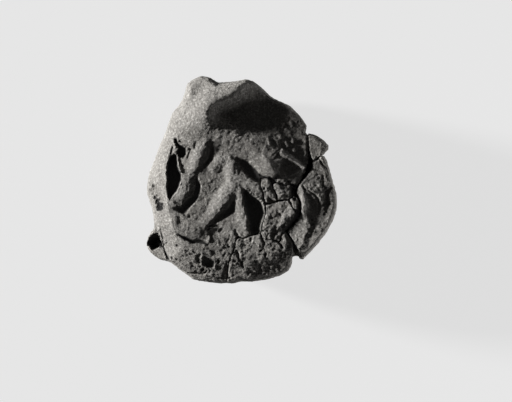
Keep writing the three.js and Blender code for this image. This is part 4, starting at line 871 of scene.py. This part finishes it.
def roof_over(tree, places, normals, lowest):
    """Height of the node's own top over each place, or a little inside where its walls
    stand"""
    down = Vector((0, 0, -1))
    roof = places[:, 2].copy()
    for i in np.flatnonzero(places[:, 2] > lowest):
        hit = tree.ray_cast(Vector((*places[i][:2], ABOVE_ALL)), down)[0]
        if hit is None or abs(hit.z - places[i][2]) > WALL_STEP:
            start = places[i] - normals[i] * WALL_STEP
            hit = tree.ray_cast(Vector((*start[:2], ABOVE_ALL)), down)[0] or hit
        if hit is not None:
            roof[i] = hit.z
    return roof


def crumbliness(sizes, x, y):
    """How far the face is broken and crumbly at each place, from 0 to 1"""
    amount = np.zeros(x.shape)
    for share, edge in CRUMBLY:
        inside = depth_inside(scaled(edge, sizes), x, y)
        amount = np.maximum(amount, share * smooth_step(0, AREA_BORDER, inside))
    return amount


def stain_and_shade(sizes, x, y):
    """How far each place is darkened, from 0 to 1, by real stains and by painted shade"""
    amount = np.zeros(x.shape)
    for share, border, edge in STAINS_AND_SHADE:
        inside = depth_inside(scaled(edge, sizes), x, y)
        amount = np.maximum(amount, share * smooth_step(0, AREA_BORDER * border, inside))
    return amount


def sculpt(piece, tree, sizes):
    """Moves a remeshed piece onto the sealed face, then gives it its grain, pits and
    broken walls, and stores what its material reads"""
    mesh = piece.data
    places = np.empty(len(mesh.vertices) * 3)
    normals = np.empty(len(mesh.vertices) * 3)
    mesh.vertices.foreach_get("co", places)
    mesh.vertex_normals.foreach_get("vector", normals)
    places = places.reshape(-1, 3)
    normals = normals.reshape(-1, 3)

    lowest = sizes.field_level - sizes.face_fall * LOWEST_DEPTH
    roof = roof_over(tree, places, normals, lowest)
    level, raised, sunk = face_level(sizes, places[:, 0], places[:, 1])
    rise = level - roof
    inside = depth_inside(scaled(OUTLINE_SHARES, sizes), places[:, 0], places[:, 1])
    near_top = smooth_step(*UNDER_TOP, roof - places[:, 2])
    near_top *= smooth_step(lowest, lowest + LOWEST_BORDER, places[:, 2])
    open_air = near_top * smooth_step(*INSIDE_RIM, inside)
    on_face = open_air * smooth_step(*LONGEST_MOVE, np.abs(rise))
    places[:, 2] += rise * on_face

    wall = 1 - np.maximum(on_face, smooth_step(*BROKEN_WALL, inside))
    crumbly = np.clip(crumbliness(sizes, places[:, 0], places[:, 1]) * on_face + wall, 0, 1)
    lumps = noise(places, *LUMPS)
    grain = noise(places, *FINE_GRAIN) + GRAIN_SHARE * noise(places, *GRAIN)
    swell = noise(places, *SWELL)
    bent = places + BEND * np.stack([noise(places, *bend) for bend in BENDS], axis=1)
    crumbs = specks(bent, *CRUMBS)
    pits = specks(bent, *SMALL_PITS)
    pocks = specks(bent, *POCKS)
    move = sizes.crack_swell * wall + sizes.wall_break * wall * swell
    move += sizes.lump_grain * crumbly * (LUMP_SHARE * lumps + CRUMB_SHARE * crumbs - pits)
    move += sizes.skin_grain * (grain + SWELL_SHARE * swell)
    move -= sizes.skin_grain * POCK_SHARE * pocks * (1 - crumbly)
    places += normals * move[:, None]
    places[:, 2] = np.maximum(places[:, 2], 0)
    mesh.vertices.foreach_set("co", places.ravel())
    mesh.polygons.foreach_set("use_smooth", np.ones(len(mesh.polygons), bool))

    # Painted shade: the deeper a place lies in a hollow, pit, crack, hole or the cord's mouth, the
    # darker its colour
    pit_shade = sunk / (PIT_SHADE_DEPTH * sizes.pit_depth) * open_air
    pit_shade += PIT_SHADE_IN_SMALL_PITS * pits * crumbly + PIT_SHADE_IN_POCKS * pocks
    pit_shade = np.clip(pit_shade, 0, 1)
    # Painted highlight: the higher a ridge stands, the paler its colour
    ridge_light = np.clip(raised / (RIDGE_LIGHT_HEIGHT * sizes.ridge_height), 0, 1) * on_face
    # Stains and painted shade, mostly taken off the ridges
    darkening = stain_and_shade(sizes, places[:, 0], places[:, 1]) * (1 - DARKENING_OFF_RIDGES * ridge_light)
    layers = {"crumbly": crumbly, "pit_shade": pit_shade, "stain_and_shade": darkening, "ridge_light": ridge_light}
    for name, values in layers.items():
        layer = mesh.attributes.new(name, "FLOAT", "POINT")
        layer.data.foreach_set("value", values.astype(np.float32))
    mesh.update()


class NodeMaker:
    """Short words for adding and joining shader nodes"""

    def __init__(self, tree):
        self.tree = tree
        tree.nodes.clear()

    def add(self, kind, **settings):
        """A new node; each setting is one of its own or the value of one of its sockets"""
        node = self.tree.nodes.new(kind)
        for name, value in settings.items():
            if hasattr(node, name):
                setattr(node, name, value)
            else:
                node.inputs[name.replace("_", " ").title()].default_value = value
        return node

    def join(self, output, socket):
        """Leads an output into a socket"""
        self.tree.links.new(output, socket)

    def attribute(self, name):
        """A value that is stored on the mesh"""
        return self.add("ShaderNodeAttribute", attribute_name=name).outputs["Fac"]

    def noise(self, coordinates, scale, detail, roughness):
        """Noise with its scale in bumps per metre"""
        node = self.add("ShaderNodeTexNoise", scale=scale, detail=detail, roughness=roughness)
        self.join(coordinates, node.inputs["Vector"])
        return node.outputs["Fac"]

    def ramp(self, value, low, high):
        """A value spread so that low becomes 0 and high becomes 1"""
        node = self.add("ShaderNodeMapRange", interpolation_type="SMOOTHSTEP")
        self.join(value, node.inputs["Value"])
        node.inputs["From Min"].default_value = low
        node.inputs["From Max"].default_value = high
        return node.outputs["Result"]

    def feed(self, value, socket):
        """Joins an output to a socket, or sets the socket to a plain value"""
        if hasattr(value, "links"):
            self.join(value, socket)
        else:
            socket.default_value = value

    def mix(self, factor, first, second):
        """The first colour where the factor is 0, and the second where it is 1"""
        node = self.add("ShaderNodeMix", data_type="RGBA")
        colour_sockets = [socket for socket in node.inputs if socket.type == "RGBA"]
        self.feed(factor, node.inputs[0])
        self.feed(first, colour_sockets[0])
        self.feed(second, colour_sockets[1])
        return next(socket for socket in node.outputs if socket.type == "RGBA")

    def times(self, value, factor):
        """A value times a plain number or another value"""
        node = self.add("ShaderNodeMath", operation="MULTIPLY")
        self.join(value, node.inputs[0])
        self.feed(factor, node.inputs[1])
        return node.outputs[0]

    def coat(self, colour, amount, over):
        """A colour with another laid over it, as thick as the amount from 0 to 1"""
        return self.mix(amount, colour, (*over, 1))


def clay_material(name, finish):
    """Dried clay: a mottled skin, a darker core where it crumbles, pale grains, dark stains,
    painted shade in its pits, cracks and shaded areas, and a painted highlight on its ridges"""
    material = bpy.data.materials.new(name)
    material.use_nodes = True
    make = NodeMaker(material.node_tree)
    place = make.add("ShaderNodeTexCoord").outputs["Object"]
    crumbly, pit_shade, darkening, ridge_light = (
        make.attribute(layer) for layer in ("crumbly", "pit_shade", "stain_and_shade", "ridge_light"))

    def pattern(kind):
        scale, detail, roughness, start, full, cover = PATTERNS[kind]
        noise_value = make.noise(place, scale, detail, roughness)
        return make.times(make.ramp(noise_value, start, full), cover)

    pale = [min(1, PALE_SHARE * channel) for channel in finish.skin]
    dark = [DARK_SHARE * channel for channel in finish.core]
    pit_shade_colour = [PIT_SHADE_SHARE * channel for channel in finish.soil_and_shade]
    colour = make.mix(crumbly, (*finish.skin, 1), (*finish.core, 1))
    colour = make.coat(colour, pattern("mottling"), pale)
    colour = make.coat(colour, pattern("patches"), dark)
    # Painted highlight on the ridges, in the pale grains' colour
    colour = make.coat(colour, make.times(ridge_light, RIDGE_LIGHT_COVER), finish.pale_tone)
    # Stains and painted shade, with dark blotches in them
    colour = make.coat(colour, make.times(darkening, STAIN_AND_SHADE_COVER), finish.soil_and_shade)
    colour = make.coat(colour, make.times(pattern("blotches"), darkening), finish.soil_and_shade)
    colour = make.coat(colour, pattern("sand"), BLACK)
    colour = make.coat(colour, pattern("pale_tone"), finish.pale_tone)
    colour = make.coat(colour, pattern("dark grains"), finish.soil_and_shade)
    # Painted shade in pits and cracks, going down to black where they are deepest
    colour = make.coat(colour, make.times(pit_shade, PIT_SHADE_COVER), pit_shade_colour)
    colour = make.coat(colour, make.times(make.ramp(pit_shade, *SHADE_RANGE), SHADE_COVER), BLACK)

    shader = make.add("ShaderNodeBsdfPrincipled")
    shader.inputs["Roughness"].default_value = ROUGHNESS
    shader.inputs["Specular IOR Level"].default_value = SPECULAR
    make.join(colour, shader.inputs["Base Color"])
    strength = make.add("ShaderNodeMapRange")
    make.join(crumbly, strength.inputs["Value"])
    strength.inputs["To Min"].default_value = SKIN_BUMP
    strength.inputs["To Max"].default_value = CORE_BUMP
    bump = make.add("ShaderNodeBump")
    bump.inputs["Strength"].default_value = BUMP_STRENGTH
    bump.inputs["Distance"].default_value = BUMP_HEIGHT
    grain = make.times(make.noise(place, *BUMP_NOISE), strength.outputs["Result"])
    make.join(grain, bump.inputs["Height"])
    make.join(bump.outputs["Normal"], shader.inputs["Normal"])
    output = make.add("ShaderNodeOutputMaterial")
    make.join(shader.outputs["BSDF"], output.inputs["Surface"])
    return material


def dress(context, node):
    """Replaces one CAD node by its finished piece of clay"""
    slot, voxel = NODES[node]
    piece, tree = remeshed(node, voxel)
    sculpt(piece, tree, context.scene.bulla_sizes)
    name = "clay_of_" + node
    piece.data.materials.append(clay_material(name, context.scene.bulla_finish))
    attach(piece, "root")
    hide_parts(node)


class BULLA_OT_back_pad(bpy.types.Operator):
    """Model the rear layer of clay, with its lip beside the cord's mouth"""

    bl_idname = "bulla.back_pad"
    bl_label = "Back pad"

    def execute(self, context):
        dress(context, "back_pad")
        return {"FINISHED"}


class BULLA_OT_face_lump(bpy.types.Operator):
    """Model the main fragment, with the impression and the thumb's dent"""

    bl_idname = "bulla.face_lump"
    bl_label = "Face lump"

    def execute(self, context):
        dress(context, "face_lump")
        return {"FINISHED"}


class BULLA_OT_right_fragment(bpy.types.Operator):
    """Model the fragment right of the main crack, and the cap at its upper end"""

    bl_idname = "bulla.right_fragment"
    bl_label = "Right fragment"

    def execute(self, context):
        dress(context, "right_fragment")
        dress(context, "corner_cap")
        return {"FINISHED"}


class BULLA_OT_lower_block(bpy.types.Operator):
    """Model the block at the lower edge"""

    bl_idname = "bulla.lower_block"
    bl_label = "Lower block"

    def execute(self, context):
        dress(context, "lower_block")
        return {"FINISHED"}


class BULLA_OT_chips(bpy.types.Operator):
    """Model the chip and the crumbs where the cracks meet"""

    bl_idname = "bulla.chips"
    bl_label = "Chips"

    def execute(self, context):
        for node in ("limb_chip", "right_pebble", "left_pebble", "junction_crumb"):
            dress(context, node)
        return {"FINISHED"}


def seen_directly(make):
    """1 for rays from the camera, or by way of a mirror or glass, and 0 for light"""
    path = make.add("ShaderNodeLightPath")
    total = path.outputs["Is Camera Ray"]
    for name in ("Is Glossy Ray", "Is Transmission Ray"):
        node = make.add("ShaderNodeMath", operation="MAXIMUM")
        make.join(total, node.inputs[0])
        make.join(path.outputs[name], node.inputs[1])
        total = node.outputs[0]
    return total


def paper_material(name, stage):
    """Matt paper that the camera sees at its own tone, and that keeps a soft shadow"""
    material = bpy.data.materials.new(name)
    material.use_nodes = True
    make = NodeMaker(material.node_tree)
    seen = seen_directly(make)
    matt = make.add("ShaderNodeBsdfDiffuse")
    make.join(make.mix(seen, (*FLOOR_RETURN, 1), (*stage.paper, 1)), matt.inputs["Color"])
    tone = make.add("ShaderNodeEmission")
    tone.inputs["Color"].default_value = (*stage.paper, 1)
    mixed = make.add("ShaderNodeMixShader")
    make.join(make.times(seen, PAPER_TONE), mixed.inputs["Fac"])
    make.join(matt.outputs["BSDF"], mixed.inputs[1])
    make.join(tone.outputs["Emission"], mixed.inputs[2])
    output = make.add("ShaderNodeOutputMaterial")
    make.join(mixed.outputs["Shader"], output.inputs["Surface"])
    return material


def make_world(stage):
    """Weak even light from all sides, seen by the camera as paper"""
    world = bpy.data.worlds.new("studio")
    world.use_nodes = True
    make = NodeMaker(world.node_tree)
    light = make.add("ShaderNodeBackground")
    light.inputs["Color"].default_value = (1, 1, 1, 1)
    light.inputs["Strength"].default_value = stage.fill_power
    seen = make.add("ShaderNodeBackground")
    seen.inputs["Color"].default_value = (*stage.paper, 1)
    mixed = make.add("ShaderNodeMixShader")
    make.join(seen_directly(make), mixed.inputs["Fac"])
    make.join(light.outputs["Background"], mixed.inputs[1])
    make.join(seen.outputs["Background"], mixed.inputs[2])
    output = make.add("ShaderNodeOutputWorld")
    make.join(mixed.outputs["Shader"], output.inputs["Surface"])
    bpy.context.scene.world = world


def make_key(stage):
    """One soft light from the left, a little towards the top of the view"""
    light = bpy.data.lights.new("key", "SUN")
    light.energy = stage.key_power
    light.angle = stage.key_spread
    key = bpy.data.objects.new("key", light)
    flat = np.cos(stage.key_height)
    across = -flat * np.cos(stage.key_turn)
    towards = Vector((across, flat * np.sin(stage.key_turn), np.sin(stage.key_height)))
    key.rotation_euler = towards.to_track_quat("Z", "Y").to_euler()
    bpy.context.scene.collection.objects.link(key)


def make_card(stage):
    """A pale card that lies low on the right and returns a little light to the rims"""
    light = bpy.data.lights.new("card", "AREA")
    light.shape = "RECTANGLE"
    light.size = stage.card_away
    light.size_y = stage.card_away * CARD_HEIGHT
    light.spread = CARD_SPREAD
    light.energy = stage.card_power
    card = bpy.data.objects.new("card", light)
    card.location = Vector((1, -CARD_ASIDE, CARD_LEVEL)) * stage.card_away
    away = card.location - Vector((0, 0, CARD_AIM)) * stage.card_away
    card.rotation_euler = away.to_track_quat("Z", "Y").to_euler()
    card.visible_camera = False
    bpy.context.scene.collection.objects.link(card)


def make_camera(stage, sizes):
    """A long lens straight above, placed so that the lump lies where the photograph has it"""
    metres_per_px = 2 * sizes.half_width / LUMP_WIDTH_PX
    right = (PHOTO_WIDTH_PX / 2 - LUMP_MIDDLE_PX[0]) * metres_per_px
    down = (PHOTO_HEIGHT_PX / 2 - LUMP_MIDDLE_PX[1]) * metres_per_px
    data = bpy.data.cameras.new("camera")
    distance = stage.camera_height + sizes.rim_drop
    data.lens = data.sensor_width * distance / (PHOTO_WIDTH_PX * metres_per_px)
    camera = bpy.data.objects.new("camera", data)
    camera.location = (right, -down, sizes.field_level + stage.camera_height)
    bpy.context.scene.collection.objects.link(camera)
    bpy.context.scene.camera = camera


class BULLA_OT_stage(bpy.types.Operator):
    """Set the floor, the lights and the camera"""

    bl_idname = "bulla.stage"
    bl_label = "Stage"

    def execute(self, context):
        stage = context.scene.bulla_stage
        plan = bmesh.new()
        bmesh.ops.create_grid(plan, x_segments=1, y_segments=1, size=FLOOR_HALF)
        mesh = bpy.data.meshes.new("floor")
        plan.to_mesh(mesh)
        plan.free()
        mesh.materials.append(paper_material("paper", stage))
        floor = bpy.data.objects.new("floor", mesh)
        context.scene.collection.objects.link(floor)
        make_world(stage)
        make_key(stage)
        make_card(stage)
        make_camera(stage, context.scene.bulla_sizes)
        context.scene.view_settings.view_transform = "Standard"
        return {"FINISHED"}


class BULLA_PT_panel(bpy.types.Panel):
    """Lists the steps that build the bulla"""

    bl_idname = "BULLA_PT_panel"
    bl_label = "Clay bulla"
    bl_space_type = "VIEW_3D"
    bl_region_type = "UI"
    bl_category = "Bulla"

    def draw(self, context):
        for operator in OPERATORS:
            self.layout.operator(operator.bl_idname)
        scene = context.scene
        for group in (scene.bulla_sizes, scene.bulla_finish, scene.bulla_stage):
            box = self.layout.box()
            for name in group.__annotations__:
                box.prop(group, name)


OPERATORS = (
    BULLA_OT_stage,
    BULLA_OT_back_pad,
    BULLA_OT_face_lump,
    BULLA_OT_right_fragment,
    BULLA_OT_lower_block,
    BULLA_OT_chips,
)
CLASSES = (BullaSizes, BullaFinish, BullaStage, *OPERATORS, BULLA_PT_panel)


def register():
    for cls in CLASSES:
        bpy.utils.register_class(cls)
    bpy.types.Scene.bulla_sizes = bpy.props.PointerProperty(type=BullaSizes)
    bpy.types.Scene.bulla_finish = bpy.props.PointerProperty(type=BullaFinish)
    bpy.types.Scene.bulla_stage = bpy.props.PointerProperty(type=BullaStage)


def unregister():
    del bpy.types.Scene.bulla_stage
    del bpy.types.Scene.bulla_finish
    del bpy.types.Scene.bulla_sizes
    for cls in reversed(CLASSES):
        bpy.utils.unregister_class(cls)


def main():
    register()
    bpy.ops.bulla.stage()
    bpy.ops.bulla.back_pad()
    bpy.ops.bulla.face_lump()
    bpy.ops.bulla.right_fragment()
    bpy.ops.bulla.lower_block()
    bpy.ops.bulla.chips()


if __name__ == "__main__":
    main()
